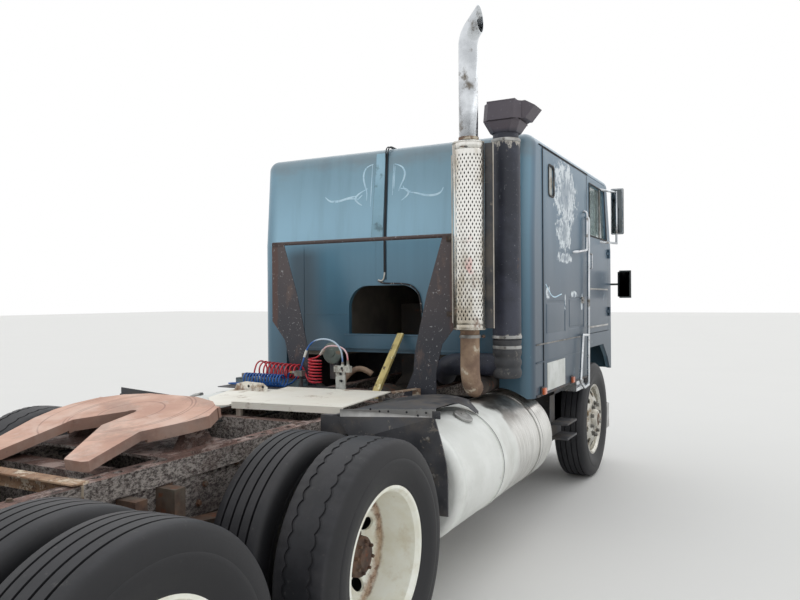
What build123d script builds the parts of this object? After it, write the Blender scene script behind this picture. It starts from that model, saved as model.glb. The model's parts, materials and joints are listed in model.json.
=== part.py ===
from build123d import *
import math
import os

# A cab-over tractor unit with a sleeper, in millimetres. X is across, +X the driver's left side,
# Y runs rearwards from the steer axle, Z is up from the ground. The finished pieces are moved along
# Y at the end, so that the origin is under the middle of the whole vehicle.

# Wheels and axles
TYRE_R = 527
TYRE_HALF = 141
TREAD_HALF = 116
RIM_R = 311
LIP_R = 324
LIP_HALF = 112
STEER_X = 1040
KINGPIN_X = 870
DRIVE_OUTER_X = 1080
DUAL_SPACING = 335
FIRST_DRIVE_Y = 4115
TANDEM = 1320
KINGPIN_R = 20
RUNNING_GAP = 0.1
AXLE_Y = {"drive1": FIRST_DRIVE_Y, "drive2": FIRST_DRIVE_Y + TANDEM}

# Frame
RAIL_X = 430
RAIL_TOP = 985
RAIL_DEPTH = 268
FLANGE = 76
WEB = 9
RAIL_FRONT = -655
RAIL_END = 6110
BUMPER_FRONT = -845
BUMPER_DEPTH = 60
BUMPER_TOP = 575
BUMPER_LOW = 330
BUMPER_HALF = 1130
FLAP_Y = 6040
FLAP_THICK = 12
TAIL_END = 6145

# Cab
CAB_HALF = 1170
CAB_FRONT = -800
CAB_REAR = 1975
REAR_LEAN = 55
ROOF = 2843
SEAM_DROP = 67
CREASE = 2116
COWL = 2150
BROW_Y = -600
NOSE_LOW = 720
SKIRT = 955
WALL = 40
CORNER = 90
FLOOR = 1245
FLOOR_THICK = 30
TUNNEL_HALF = 460
TUNNEL_TOP = 1820
SHEET = 20
ROOF_SEAM = ROOF - SEAM_DROP
SEAM_SETBACK = 175
REAR_SEAM = CAB_REAR - SEAM_SETBACK
REAR_LOW = 1250
MOUTH_LOW = 1393
MOUTH_HALF = 320
MOUTH_TALL = 377
MOUTH_CORNER = 170
PILLAR_Y = -586
PILLAR_TOP_Y = -428
DOOR_REAR = 326
DOOR_LOW = 1334
DOOR_GAP = 6
DOOR_SILL = 2240
GLASS_DROP = 76
GLASS_FRONT = -500
GLASS_REAR = 220
GLASS_LEAN = 115
GLASS_THICK = 6
GLASS_INSET = 17
SMALL_WINDOW_Y = (1420, 1550)
SMALL_WINDOW_DROP = 120
SMALL_WINDOW_TALL = 216
PANE_SILL = 45
PANE_DROP = 81
PANE_X = (30, 1040)
ARCH_TOP = 1210
CAB_PIVOT = (-700, 700)
PIVOT_R = 18
HINGE_OUT = 14
HINGE_R = 12
HINGE_PIN_R = 6
HINGE_Z = (1480, 2060)
HINGE_KNUCKLE = 30
STEP_FRONT = 500
STEP_REAR = 750
STEP_LOW = 870
STEP_INNER_X = 1030
HANDLE_R = 12
HANDLE_OUT = 40
WHEEL_CENTRE = (780, -250, 1960)
COLUMN_FOOT = (780, -500, FLOOR)
BUNK_FRONT = 1100
SEAT_TOP = 1610
SEAT_X = 780
MIRROR_DROP = 26
MIRROR_TALL = 450
MIRROR_ARM_DROPS = (64, 571)

# Behind the cab
STACK_FRAME_Y = 2360
STACK_FRAME_HALF = 778
STACK_FRAME_TOP = 2108
EXHAUST_X = -900
EXHAUST_Y = 2450
EXHAUST_R = 63
MUFFLER_R = 98
SHIELD_R = 108
INTAKE_X = -1040
INTAKE_Y = 2120
INTAKE_R = 98
TANK_X = 908
TANK_Z = 663
TANK_R = 326
TANK_FRONT = 1670
TANK_REAR = 3400
TANK_ROUND = 45
STRAP_Y = (1980, 2730)
STRAP_HALF = 32
STRAP_THICK = 5
CAP_Y = 2920
CAP_R = 64
CAP_LEAN = 24
FENDER_FRONT = 2730
FENDER_Y = 3505
FENDER_TOP = 1090
DECK_TOP = 1050
DECK_THICK = 6
TRAY_TOP = 1020
SHELF_TOP = 1065
MANIFOLD_PORTS = (-10, 34)
HOSE_R = 6

# Fifth wheel
COUPLER_TILT = 9.5
COUPLER_RIM = 55
COUPLER_HORN = 42
COUPLER_PLATE = 16
COUPLER_Z = 1152
JAW_BACK = 46
TRUNNION_Y = 4400
TRUNNION_R = 22
TRUNNION_DROP = 43
JAW_R = 25.8
LOCK_HALF = 92
LOCK_FRONT = 44
THROAT_HALF = 27
BASE_THICK = 20
ANGLE_THICK = 8
SLIDE_Y = (3560, 5060)

# Engine
ENGINE_HALF = 300
ENGINE_REAR = 1120
GEARBOX_REAR = 1920

SIDES = {"right": -1, "left": 1}
FAR = 4000
MIDDLE_Y = (BUMPER_FRONT + TAIL_END) / 2


def block(x, y, z):
    """A box from three (low, high) pairs."""
    centre = Pos((x[0] + x[1]) / 2, (y[0] + y[1]) / 2, (z[0] + z[1]) / 2)
    return centre * Box(x[1] - x[0], y[1] - y[0], z[1] - z[0])


def bar(start, end, radius):
    """A round bar between two points."""
    along = Vector(*end) - Vector(*start)
    ends = Plane(origin=start, z_dir=along)
    return ends * Cylinder(radius, along.length, align=(Align.CENTER, Align.CENTER, Align.MIN))


def plate_x(outline, x):
    """A plate of constant width: outline is (y, z) points, x its (low, high) faces."""
    face = make_face(Polyline([(x[0], y, z) for y, z in outline], close=True))
    return extrude(face, x[1] - x[0], dir=(1, 0, 0))


def plate_y(outline, y):
    """A plate facing along Y: outline is (x, z) points."""
    face = make_face(Polyline([(x, y[0], z) for x, z in outline], close=True))
    return extrude(face, y[1] - y[0], dir=(0, 1, 0))


def plate_z(outline, z):
    """A level plate: outline is (x, y) points."""
    face = make_face(Polyline([(x, y, z[0]) for x, y in outline], close=True))
    return extrude(face, z[1] - z[0], dir=(0, 0, 1))


def pipe(points, radii, radius):
    """A round pipe along straight runs joined by arcs."""
    path = FilletPolyline(*points, radius=radii)
    start = Plane(origin=path @ 0, z_dir=path % 0)
    return sweep(start * Circle(radius), path=path)


def other_side(shape):
    return mirror(shape, about=Plane.YZ)


def both(shape):
    return [shape, other_side(shape)]


def fused(shapes):
    total = shapes[0]
    for shape in shapes[1:]:
        total = total + shape
    return total


# The chassis

def frame_rail():
    low = RAIL_TOP - RAIL_DEPTH
    rail = block((RAIL_X - FLANGE, RAIL_X), (RAIL_FRONT, RAIL_END), (low, RAIL_TOP))
    inside = (RAIL_X - FLANGE - 1, RAIL_X - WEB)
    rail -= block(inside, (RAIL_FRONT - 1, RAIL_END + 1), (low + WEB, RAIL_TOP - WEB))
    height = (CAB_PIVOT[1] - 35, CAB_PIVOT[1] + 35)
    ear = block((RAIL_X, RAIL_X + 50), (CAB_PIVOT[0], RAIL_FRONT + 180), height)
    ear += bar((RAIL_X, *CAB_PIVOT), (RAIL_X + 50, *CAB_PIVOT), 35)
    ear += bar((RAIL_X + 50, *CAB_PIVOT), (RAIL_X + 135, *CAB_PIVOT), PIVOT_R)
    return rail + ear


def crossmembers():
    # y, depth along Y, underside, top
    table = [
        (-600, 70, 760, 960),
        (2060, 80, 890, 970),
        (2440, 60, 900, 970),
        (2560, 60, 800, 960),
        (3440, 80, 740, 960),
        (AXLE_Y["drive1"], 160, 770, 960),
        ((AXLE_Y["drive1"] + AXLE_Y["drive2"]) / 2, 120, 740, 960),
        (AXLE_Y["drive2"], 160, 770, 960),
        (6060, 80, RAIL_TOP - RAIL_DEPTH + WEB, RAIL_TOP - WEB),
    ]
    half = RAIL_X - WEB
    return [block((-half, half), (y - deep / 2, y + deep / 2), (low, top)) for y, deep, low, top in table]


def bumper():
    back = BUMPER_FRONT + BUMPER_DEPTH
    chamfered = [
        (-BUMPER_HALF, back + 120),
        (-BUMPER_HALF, back - 10),
        (-BUMPER_HALF + 150, BUMPER_FRONT),
        (BUMPER_HALF - 150, BUMPER_FRONT),
        (BUMPER_HALF, back - 10),
        (BUMPER_HALF, back + 120),
    ]
    inner = [
        (-BUMPER_HALF + 8, back + 121),
        (-BUMPER_HALF + 8, back - 5),
        (-BUMPER_HALF + 154, BUMPER_FRONT + 8),
        (BUMPER_HALF - 154, BUMPER_FRONT + 8),
        (BUMPER_HALF - 8, back - 5),
        (BUMPER_HALF - 8, back + 121),
    ]
    shell = plate_z(chamfered, (BUMPER_LOW, BUMPER_TOP))
    shell -= plate_z(inner, (BUMPER_LOW - 1, BUMPER_TOP + 1))
    low = RAIL_TOP - RAIL_DEPTH
    arm = plate_x(
        [
            (RAIL_FRONT + 50, low),
            (RAIL_FRONT, low),
            (RAIL_FRONT, BUMPER_TOP - 20),
            (BUMPER_FRONT + 8, BUMPER_TOP - 20),
            (BUMPER_FRONT + 8, BUMPER_LOW + 60),
            (RAIL_FRONT, BUMPER_LOW + 60),
        ],
        (RAIL_X - 60, RAIL_X - 40),
    )
    return fused([shell, *both(arm)])


def engine():
    """One plain block, with the gearbox behind it."""
    motor = block((-ENGINE_HALF, ENGINE_HALF), (-280, ENGINE_REAR), (600, 1620))
    case = bar((0, ENGINE_REAR, 800), (0, 1420, 800), 250)
    case += bar((0, 1420, 800), (0, GEARBOX_REAR, 800), 170)
    return motor + case


def radiator():
    upper = block((-400, 400), (-540, -420), (RAIL_TOP + 5, 1600))
    lower = block((-340, 340), (-540, -420), (700, RAIL_TOP + 5))
    return upper + lower


def front_axle():
    beam = [
        (-KINGPIN_X + 30, 560),
        (-KINGPIN_X + 30, 490),
        (-620, 380),
        (620, 380),
        (KINGPIN_X - 30, 490),
        (KINGPIN_X - 30, 560),
        (KINGPIN_X - 140, 560),
        (560, 460),
        (-560, 460),
        (-KINGPIN_X + 140, 560),
    ]
    axle = plate_y(beam, (-45, 45))
    boss = bar((KINGPIN_X, 0, 455), (KINGPIN_X, 0, 600), 48)
    boss -= bar((KINGPIN_X, 0, 450), (KINGPIN_X, 0, 610), KINGPIN_R + RUNNING_GAP)
    bores = bar((KINGPIN_X, 0, 300), (KINGPIN_X, 0, 700), 47)
    axle = axle - bores - other_side(bores)
    return fused([axle, *both(boss)])


def leaf_pack(y, x, seat, top):
    """Stepped leaves curving up to both ends, over an axle at y; seat is the lowest leaf's underside."""
    # length of each leaf, from the main leaf down
    lengths = [1180, 980, 780, 560]
    thick = (top - seat) / len(lengths)
    leaves = []
    for number, length in enumerate(lengths):
        low = top - (number + 1) * thick
        rise = length * length * 55 / 1180 ** 2
        tip = low + rise
        first = y - length / 2
        last = y + length / 2
        lower = ThreePointArc((x[0], first, tip), (x[0], y, low), (x[0], last, tip))
        upper = ThreePointArc((x[0], last, tip + thick), (x[0], y, low + thick), (x[0], first, tip + thick))
        ends = [Line(lower @ 1, upper @ 0), Line(upper @ 1, lower @ 0)]
        leaves.append(extrude(make_face([lower, ends[0], upper, ends[1]]), x[1] - x[0], dir=(1, 0, 0)))
    return fused(leaves)


def front_springs():
    rail_low = RAIL_TOP - RAIL_DEPTH
    x = (RAIL_X - 76, RAIL_X)
    pack = leaf_pack(0, x, 460, 540)
    hangers = [block(x, (y - 35, y + 35), (570, rail_low)) for y in (-560, 560)]
    return both(fused([pack, *hangers]))


def drive_axles():
    """Both driven axles with the shafts that turn them."""
    first = bar((0, GEARBOX_REAR - 40, 800), (0, AXLE_Y["drive1"] - 200, 560), 50)
    first -= block((-200, 200), (GEARBOX_REAR - 200, GEARBOX_REAR), (500, 1100))
    second = bar((0, AXLE_Y["drive1"] + 180, 540), (0, AXLE_Y["drive2"] - 240, 540), 45)
    axles = [first, second]
    for y in AXLE_Y.values():
        housing = bar((-640, y, TYRE_R), (640, y, TYRE_R), 68)
        bowl = Pos(0, y, TYRE_R) * Cylinder(215, 190, rotation=(90, 0, 0))
        nose = bar((0, y - 260, 560), (0, y - 60, 560), 105)
        tail = bar((0, y + 60, 540), (0, y + 200, 540), 70)
        seats = [block((x - 45, x + 45), (y - 70, y + 70), (TYRE_R - 20, 615)) for x in (-490, 490)]
        axles += [housing, bowl, nose, tail, *seats]
    return fused(axles)


def leaf_springs():
    return front_springs() + rear_springs()


def rear_springs():
    x = (445, 535)
    packs = []
    for y in AXLE_Y.values():
        pack = leaf_pack(y, x, 615, 705)
        hangers = [block((RAIL_X, x[1]), (end - 30, end + 30), (700, 900)) for end in (y - 560, y + 560)]
        packs.append(fused([pack, *hangers]))
    return packs + [other_side(pack) for pack in packs]


def fuel_tank():
    tank = bar((-TANK_X, TANK_FRONT, TANK_Z), (-TANK_X, TANK_REAR, TANK_Z), TANK_R)
    tank = fillet(tank.edges().filter_by(GeomType.CIRCLE), TANK_ROUND)
    lean = Pos(-TANK_X, CAP_Y, TANK_Z) * Rot(0, -CAP_LEAN, 0)
    return tank + lean * (Pos(0, 0, TANK_R - 8) * Cylinder(CAP_R, 44))


def tank_straps():
    straps = []
    for y in STRAP_Y:
        ends = [(-TANK_X, y - STRAP_HALF, TANK_Z), (-TANK_X, y + STRAP_HALF, TANK_Z)]
        band = bar(*ends, TANK_R + STRAP_THICK) - bar(*ends, TANK_R)
        bracket = plate_x(
            [(y - 28, 340), (y + 28, 340), (y + 28, RAIL_TOP - 30), (y - 28, RAIL_TOP - 30)],
            (-TANK_X + 150, -RAIL_X),
        )
        bracket -= bar((-TANK_X, y - 40, TANK_Z), (-TANK_X, y + 40, TANK_Z), TANK_R)
        straps.append(band + bracket)
    return straps


def quarter_fender():
    """The flap that hangs before the drive wheels, with the strip along its top and its arm."""
    strip = plate_y(
        [
            (-560, FENDER_TOP - 28),
            (-1135, FENDER_TOP + 7),
            (-1135, FENDER_TOP - 37),
            (-560, FENDER_TOP - 72),
        ],
        (FENDER_Y - 6, FENDER_Y),
    )
    panel = plate_y(
        [
            (-1134, FENDER_TOP - 33),
            (-1172, 932),
            (-1199, 825),
            (-1206, 746),
            (-1206, 560),
            (-640, 560),
            (-640, 900),
            (-560, 1000),
            (-560, FENDER_TOP - 68),
        ],
        (FENDER_Y, FENDER_Y + 10),
    )
    arm = block((-600, -RAIL_X), (FENDER_Y - 46, FENDER_Y - 6), (RAIL_TOP - 60, 1024))
    return fused([strip, panel, arm])


def fender_sheet():
    """The arched sheet over the right tank, which the flap's strip closes at the rear."""
    crown = [(-495, 1023), (-651, 1052), (-803, 1066), (-925, 1060), (-1001, 1044), (-1067, 975)]
    sheet = plate_y(crown + [(x, z - 5) for x, z in reversed(crown)], (FENDER_FRONT, FENDER_Y - 6))
    edge = plate_y(crown + [(x, z - 18) for x, z in reversed(crown)], (FENDER_FRONT, FENDER_FRONT + 6))
    sheet -= plate_z(
        [
            (-1100, FENDER_FRONT + 20),
            (-1030, 2810),
            (-980, 2940),
            (-975, 3140),
            (-1090, FENDER_Y),
            (-1300, FENDER_Y),
        ],
        (0, FAR),
    )
    foot = block((-500, -RAIL_X), (FENDER_FRONT + 10, FENDER_FRONT + 50), (RAIL_TOP - 28, 1022))
    return fused([sheet, edge, foot])


def deck_plate():
    """The white steel deck behind the hoses, with the strap at its front right corner."""
    under = DECK_TOP - DECK_THICK
    deck = plate_z([(-411, 2643), (382, 2704), (244, 3459), (-494, 3373)], (under, DECK_TOP))
    lip = plate_z([(244, 3459), (-494, 3373), (-494, 3367), (244, 3453)], (under - 34, under))
    strap = plate_z([(-455, 2700), (-411, 2640), (-470, 2400), (-514, 2400)], (under, DECK_TOP))
    strap_foot = block((-514, -470), (2400, 2440), (RAIL_TOP - 40, under))
    strap_foot += block((-514, -RAIL_X), (2400, 2440), (RAIL_TOP - 40, RAIL_TOP - 34))
    places = [(-400, 2700), (-400, 3320), (355, 2740)]
    legs = [block((x, x + 30), (y, y + 40), (RAIL_TOP, under)) for x, y in places]
    legs.append(block((200, 230), (3405, 3435), (RAIL_TOP - 25, under)))
    return fused([deck, lip, strap, strap_foot, *legs])


def side_step():
    """The lower sheet left of the deck, with an upstanding lip that has two holes."""
    low = (1026, 1032)
    sheet = plate_z([(392, 2740), (770, 2800), (600, 3270), (330, 3540), (256, 3480)], low)
    outline = [(430, 1032), (720, 1032), (700, 1076), (620, 1094), (470, 1088), (430, 1060)]
    lip = plate_y(outline, (2868, 2874))
    for x in (469, 593):
        lip -= bar((x, 2860, 1062), (x, 2880, 1062), 10)
    leg = block((RAIL_X - 40, RAIL_X - 10), (2900, 2940), (RAIL_TOP, low[0]))
    return fused([sheet, lip, leg])


def hose_tray():
    """The plate over the left tank and rail that the coiled hoses lie on, with a ledge and a holder."""
    under = TRAY_TOP - DECK_THICK
    plate = block((200, 1030), (2372, 2655), (under, TRAY_TOP))
    plate += block((430, 1030), (2655, 2700), (under, TRAY_TOP))
    ledge = block((440, 1030), (2372, 2496), (TRAY_TOP, SHELF_TOP))
    holder = block((362, 368), (2548, 2582), (TRAY_TOP, 1112))
    legs = [block((RAIL_X - 60, RAIL_X - 20), (y, y + 30), (RAIL_TOP, under)) for y in (2410, 2610)]
    return fused([plate, ledge, holder, *legs])


def stack_frame():
    y = (STACK_FRAME_Y - 6, STACK_FRAME_Y)
    outline = [
        (STACK_FRAME_HALF, STACK_FRAME_TOP - 8),
        (STACK_FRAME_HALF, 1500),
        (660, 1354),
        (613, 1160),
        (613, RAIL_TOP),
        (RAIL_X - 70, RAIL_TOP),
        (440, 1160),
        (451, 1300),
        (546, 1700),
        (670, STACK_FRAME_TOP - 8),
    ]
    post = plate_y(outline, y)
    flange = plate_y(
        [
            (STACK_FRAME_HALF, STACK_FRAME_TOP - 8),
            (STACK_FRAME_HALF, 1500),
            (STACK_FRAME_HALF - 6, 1500),
            (STACK_FRAME_HALF - 6, STACK_FRAME_TOP - 8),
        ],
        (STACK_FRAME_Y - 120, STACK_FRAME_Y - 6),
    )
    foot = block((RAIL_X - 70, 613), (STACK_FRAME_Y - 120, STACK_FRAME_Y - 6), (RAIL_TOP, RAIL_TOP + 10))
    tube_z = STACK_FRAME_TOP - 14
    tube = bar((-STACK_FRAME_HALF, y[0] - 8, tube_z), (STACK_FRAME_HALF, y[0] - 8, tube_z), 14)
    return fused([tube, *both(fused([post, flange, foot]))])


def exhaust():
    muffler = bar((EXHAUST_X, EXHAUST_Y, 1480), (EXHAUST_X, EXHAUST_Y, 2670), MUFFLER_R)
    upper = [
        (EXHAUST_X, EXHAUST_Y, 2660),
        (EXHAUST_X, EXHAUST_Y, 3380),
        (EXHAUST_X - 160, EXHAUST_Y + 50, 3530),
    ]
    stack = pipe(upper, 140, EXHAUST_R)
    inner = [(x, y, z + 500 * (z < 3000)) for x, y, z in upper]
    stack -= pipe(inner, 140, EXHAUST_R - 4)
    stack -= block((EXHAUST_X - 500, EXHAUST_X - 95), (EXHAUST_Y - 300, EXHAUST_Y + 400), (3200, 3900))
    lower = [
        (EXHAUST_X, EXHAUST_Y, 1490),
        (EXHAUST_X, EXHAUST_Y, 1060),
        (EXHAUST_X + 90, 1650, 1060),
        (-560, 1000, 1085),
        (-ENGINE_HALF, 1000, 1085),
    ]
    pipework = pipe(lower, [150, 200, 120], EXHAUST_R)
    # clamps that hold the silencer to the stanchion frame
    clamp_y = (STACK_FRAME_Y, STACK_FRAME_Y + 12)
    clamps = [block((EXHAUST_X, -700), clamp_y, (z - 18, z + 18)) for z in (1560, 2070)]
    return fused([muffler, stack, pipework, *clamps])


def heat_shield():
    axis = [(EXHAUST_X, EXHAUST_Y, z) for z in (1460, 2683)]
    shield = bar(*axis, SHIELD_R) - bar(*axis, SHIELD_R - 3)
    shield -= block((-FAR, FAR), (EXHAUST_Y - 2 * SHIELD_R, EXHAUST_Y), (0, FAR))
    reach = (EXHAUST_X - SHIELD_R + 2, EXHAUST_X + SHIELD_R - 2)
    spacers = [block(reach, (EXHAUST_Y, EXHAUST_Y + 12), (z, z + 20)) for z in (1600, 2580)]
    spacers = [spacer - bar(*axis, MUFFLER_R) for spacer in spacers]
    return fused([shield, *spacers])


def air_intake():
    stack = bar((INTAKE_X, INTAKE_Y, 1390), (INTAKE_X, INTAKE_Y, 2740), INTAKE_R)
    neck = bar((INTAKE_X, INTAKE_Y, 2740), (INTAKE_X, INTAKE_Y, 2800), 88)
    hood = intake_hood()
    route = [
        (INTAKE_X, INTAKE_Y, 1400),
        (INTAKE_X, INTAKE_Y, 1210),
        (-600, INTAKE_Y, 1195),
        (-460, 1850, 1090),
        (-180, 1400, 1130),
        (-150, ENGINE_REAR, 1130),
    ]
    duct = pipe(route, [95, 150, 200, 200], 78)
    duct -= block((-FAR, FAR), (0, ENGINE_REAR), (0, FAR))
    return fused([stack, neck, hood, duct])


def intake_hood():
    """The rain hood: a flared throat, eight sides at its widest, and a beak that points outwards."""
    # height, reach inwards, reach outwards, half width along Y, width of the bevelled corners
    table = [
        (2790, 92, 92, 92, 40),
        (2858, 125, 130, 125, 42),
        (2868, 130, 140, 130, 42),
        (2985, 122, 140, 122, 40),
    ]
    rings = []
    for z, inwards, outwards, half, bevel in table:
        rings.append(
            Polyline(
                [
                    (INTAKE_X + inwards - bevel, INTAKE_Y - half, z),
                    (INTAKE_X + inwards, INTAKE_Y - half + bevel, z),
                    (INTAKE_X + inwards, INTAKE_Y + half - bevel, z),
                    (INTAKE_X + inwards - bevel, INTAKE_Y + half, z),
                    (INTAKE_X - outwards + bevel, INTAKE_Y + half, z),
                    (INTAKE_X - outwards, INTAKE_Y + half - bevel, z),
                    (INTAKE_X - outwards, INTAKE_Y - half + bevel, z),
                    (INTAKE_X - outwards + bevel, INTAKE_Y - half, z),
                ],
                close=True,
            )
        )
    body = loft([make_face(ring) for ring in rings[:2]], ruled=True)
    body += loft([make_face(ring) for ring in rings[2:]], ruled=True)
    between = (table[1][0] - 2, table[2][0] + 2)
    body += block((INTAKE_X - 120, INTAKE_X + 118), (INTAKE_Y - 112, INTAKE_Y + 112), between)
    top = table[3][0]
    lid = block((INTAKE_X - 100, INTAKE_X + 100), (INTAKE_Y - 100, INTAKE_Y + 100), (top, top + 18))
    outline = [
        (INTAKE_X - 100, table[2][0]),
        (INTAKE_X - 165, table[2][0]),
        (INTAKE_X - 232, top - 40),
        (INTAKE_X - 165, top),
        (INTAKE_X - 100, top),
    ]
    beak = plate_y(outline, (INTAKE_Y - 80, INTAKE_Y + 80))
    return fused([body, lid, beak])


def fifth_wheel_place():
    """The turning of the coupler plate about its trunnion, from level to its resting tilt."""
    return Pos(0, TRUNNION_Y, COUPLER_Z) * Rot(-COUPLER_TILT, 0, 0)


def fifth_wheel_plate():
    """Drawn level with the trunnion axis at y = 0 and the top face at z = 0."""
    outline = [
        (-160, -228),
        (160, -228),
        (300, -182),
        (400, -98),
        (448, 10),
        (456, 110),
        (432, 238),
        (338, 470),
        (290, 600),
        (150, 600),
        (184, 280),
        (195, 210),
        (THROAT_HALF, JAW_BACK),
        (-THROAT_HALF, JAW_BACK),
        (-THROAT_HALF, 235),
        (-227, 575),
        (-240, 595),
        (-340, 598),
        (-367, 585),
        (-290, 262),
        (-400, 105),
        (-448, 10),
        (-400, -98),
        (-300, -182),
    ]
    face = make_face(Polyline([(x, y, 0) for x, y in outline], close=True))
    plate = extrude(face, COUPLER_PLATE, dir=(0, 0, -1))
    skirt = extrude(face - offset(face, -14, kind=Kind.INTERSECTION), COUPLER_RIM, dir=(0, 0, -1))
    skirt -= block((-600, 600), (240, 640), (-COUPLER_RIM - 1, -COUPLER_HORN))
    skirt += extrude(face, COUPLER_RIM, dir=(0, 0, -1)) & block(
        (-LOCK_HALF, LOCK_HALF), (-LOCK_FRONT, JAW_BACK + JAW_R), (-COUPLER_RIM, 0)
    )
    deep = (-COUPLER_RIM + 5, -1)
    places = [(-290, 130), (-120, 60), (120, 60), (290, 230)]
    ribs = [block((x - 8, x + 8), (-180, y), deep) for x, y in places]
    ribs.append(block((-400, 400), (-120, -104), deep))
    ears = [block((x - 20, x + 20), (-45, 45), (-TRUNNION_DROP - 16, -1)) for x in (-395, 395)]
    shafts = both(bar((282, 0, -TRUNNION_DROP), (415, 0, -TRUNNION_DROP), TRUNNION_R))
    plate = fused([plate, skirt, *ribs, *ears, *shafts])
    plate -= bar((0, JAW_BACK, -200), (0, JAW_BACK, 50), JAW_R)
    return fifth_wheel_place() * plate


def fifth_wheel_base():
    """The sliding base, a stand under each trunnion, slotted angles on the rails and a beam behind."""
    under = RAIL_TOP + ANGLE_THICK
    base = block((-RAIL_X, RAIL_X), (4200, 4640), (under, RAIL_TOP + BASE_THICK))
    angle = block((RAIL_X, RAIL_X + 14), SLIDE_Y, (RAIL_TOP - 80, under))
    angle += block((RAIL_X - FLANGE, RAIL_X + 14), SLIDE_Y, (RAIL_TOP, under))
    for y in range(SLIDE_Y[0] + 80, SLIDE_Y[1] - 20, 100):
        angle -= block((RAIL_X - 50, RAIL_X - 22), (y, y + 42), (RAIL_TOP - 1, under + 1))
    last = SLIDE_Y[1]
    beam = block((-RAIL_X, RAIL_X), (last - 35, last + 35), (under, under + 6))
    beam += block((-RAIL_X + FLANGE, RAIL_X - FLANGE), (last - 35, last - 29), (RAIL_TOP - 60, under))
    return fused([base, *both(angle), beam, *both(stand())])


def stand():
    """One trunnion's stand, open above so that the shaft lies in it."""
    foot = RAIL_TOP + BASE_THICK - 2
    axis = fifth_wheel_place() * Pos(0, 0, -TRUNNION_DROP)
    axis_y = axis.position.Y
    axis_z = axis.position.Z
    outline = [(axis_y - 110, foot), (axis_y + 110, foot), (axis_y + 32, axis_z), (axis_y - 32, axis_z)]
    side = plate_x(outline, (320, 366))
    side -= bar((300, axis_y, axis_z), (400, axis_y, axis_z), TRUNNION_R + RUNNING_GAP)
    return side


def tail_lamps():
    beam = block((-RAIL_X, RAIL_X), (RAIL_END, RAIL_END + 10), (740, 960))
    lamps = [bar((x, RAIL_END + 10, 850), (x, TAIL_END, 850), 50) for x in (-340, -210, 210, 340)]
    return fused([beam, *lamps])


def mud_flaps():
    hanger = bar((RAIL_X, FLAP_Y - 12, 930), (1200, FLAP_Y - 12, 930), 12)
    flap = block((600, 1200), (FLAP_Y, FLAP_Y + FLAP_THICK), (260, 942))
    return both(hanger + flap)


def air_tanks():
    return [bar((x, 2760, 600), (x, 3320, 600), 115) for x in (-180, 180)]


def battery_box():
    case = block((520, 1020), (820, 1480), (470, 860))
    arms = [block((RAIL_X, 520), (y - 25, y + 25), (620, 860)) for y in (900, 1400)]
    return fused([case, *arms])


def air_manifold():
    plate = block((12, 88), (2522, 2538), (960, 1156))
    head = block((-32, 98), (2512, 2546), (1151, 1195))
    ports = [bar((x, 2530, 1190), (x, 2530, 1206), 11) for x in MANIFOLD_PORTS]
    holes = [bar((50, 2500, z), (50, 2560, z), 9) for z in (1089, 1139)]
    solid = fused([plate, head, *ports])
    for hole in holes:
        solid -= hole
    return solid


def cab_prop_arm():
    """The painted arm that leans from a crossmember to the sill under the tunnel's mouth."""
    outline = [
        (2470, 970),
        (2410, 970),
        (2410, 1000),
        (2034, 1396),
        (2046, 1408),
        (2450, 1000),
        (2470, 985),
    ]
    arm = plate_x(outline, (-200, -150))
    foot = block((-240, -110), (2412, 2468), (970, 982))
    return arm + foot


# The air hoses, each a thin line from the manifold and a fat tube round its turns

def cord_tube(points, radius):
    """A tube along a cord's route, each arc as large as its two runs allow."""
    radii = []
    for before, here, after in zip(points, points[1:], points[2:]):
        one = Vector(*here) - Vector(*before)
        two = Vector(*after) - Vector(*here)
        turn = math.radians(one.get_angle(two))
        radii.append(0.45 * min(one.length, two.length) / math.tan(turn / 2))
    print("cord radii", [round(value) for value in radii])
    return pipe(points, radii, radius)


RED_FEED = [
    (-10, 2530, 1206),
    (-10, 2530, 1256),
    (14, 2520, 1302),
    (62, 2514, 1328),
    (124, 2508, 1335),
    (186, 2498, 1328),
    (232, 2482, 1300),
    (266, 2462, 1262),
    (292, 2454, 1225),
]
BLUE_FEED = [
    (34, 2530, 1206),
    (34, 2530, 1262),
    (52, 2533, 1322),
    (97, 2535, 1364),
    (160, 2538, 1382),
    (226, 2542, 1380),
    (284, 2548, 1357),
    (322, 2554, 1308),
    (341, 2560, 1248),
    (372, 2546, 1190),
    (414, 2522, 1132),
    (456, 2514, 1074),
    (512, 2512, 1036),
    (586, 2512, 1028),
    (672, 2513, 1028),
    (758, 2511, 1028),
    (832, 2512, 1028),
    (899, 2513, 1028),
    (959, 2514, 1029),
    (1000, 2555, 1031),
    (1001, 2613, 1035),
    (960, 2654, 1041),
    (901, 2654, 1049),
    (848, 2621, 1057),
]
RED_LINK = [
    (290, 2452, 1046),
    (338, 2449, 1046),
    (384, 2446, 1055),
    (426, 2443, 1071),
    (478, 2440, 1078),
]
RED_STANDING = (290, 2500)
RED_STANDING_R = 53
RED_LYING_Y = 2436
RED_LYING_R = 62
BLUE_LYING_Y = 2578
BLUE_LYING_R = 50


def hose_red():
    feed = cord_tube(RED_FEED, HOSE_R)
    upright = bar((*RED_STANDING, 1240), (*RED_STANDING, 1034), RED_STANDING_R)
    link = cord_tube(RED_LINK, HOSE_R)
    axis_z = SHELF_TOP + RED_LYING_R
    lying = bar((470, RED_LYING_Y, axis_z), (905, RED_LYING_Y, axis_z), RED_LYING_R)
    return fused([feed, upright, link, lying])


def hose_blue():
    feed = cord_tube(BLUE_FEED, HOSE_R)
    axis_z = TRAY_TOP + BLUE_LYING_R
    lying = bar((415, BLUE_LYING_Y, axis_z), (905, BLUE_LYING_Y, axis_z), BLUE_LYING_R)
    return fused([feed, lying])


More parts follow.
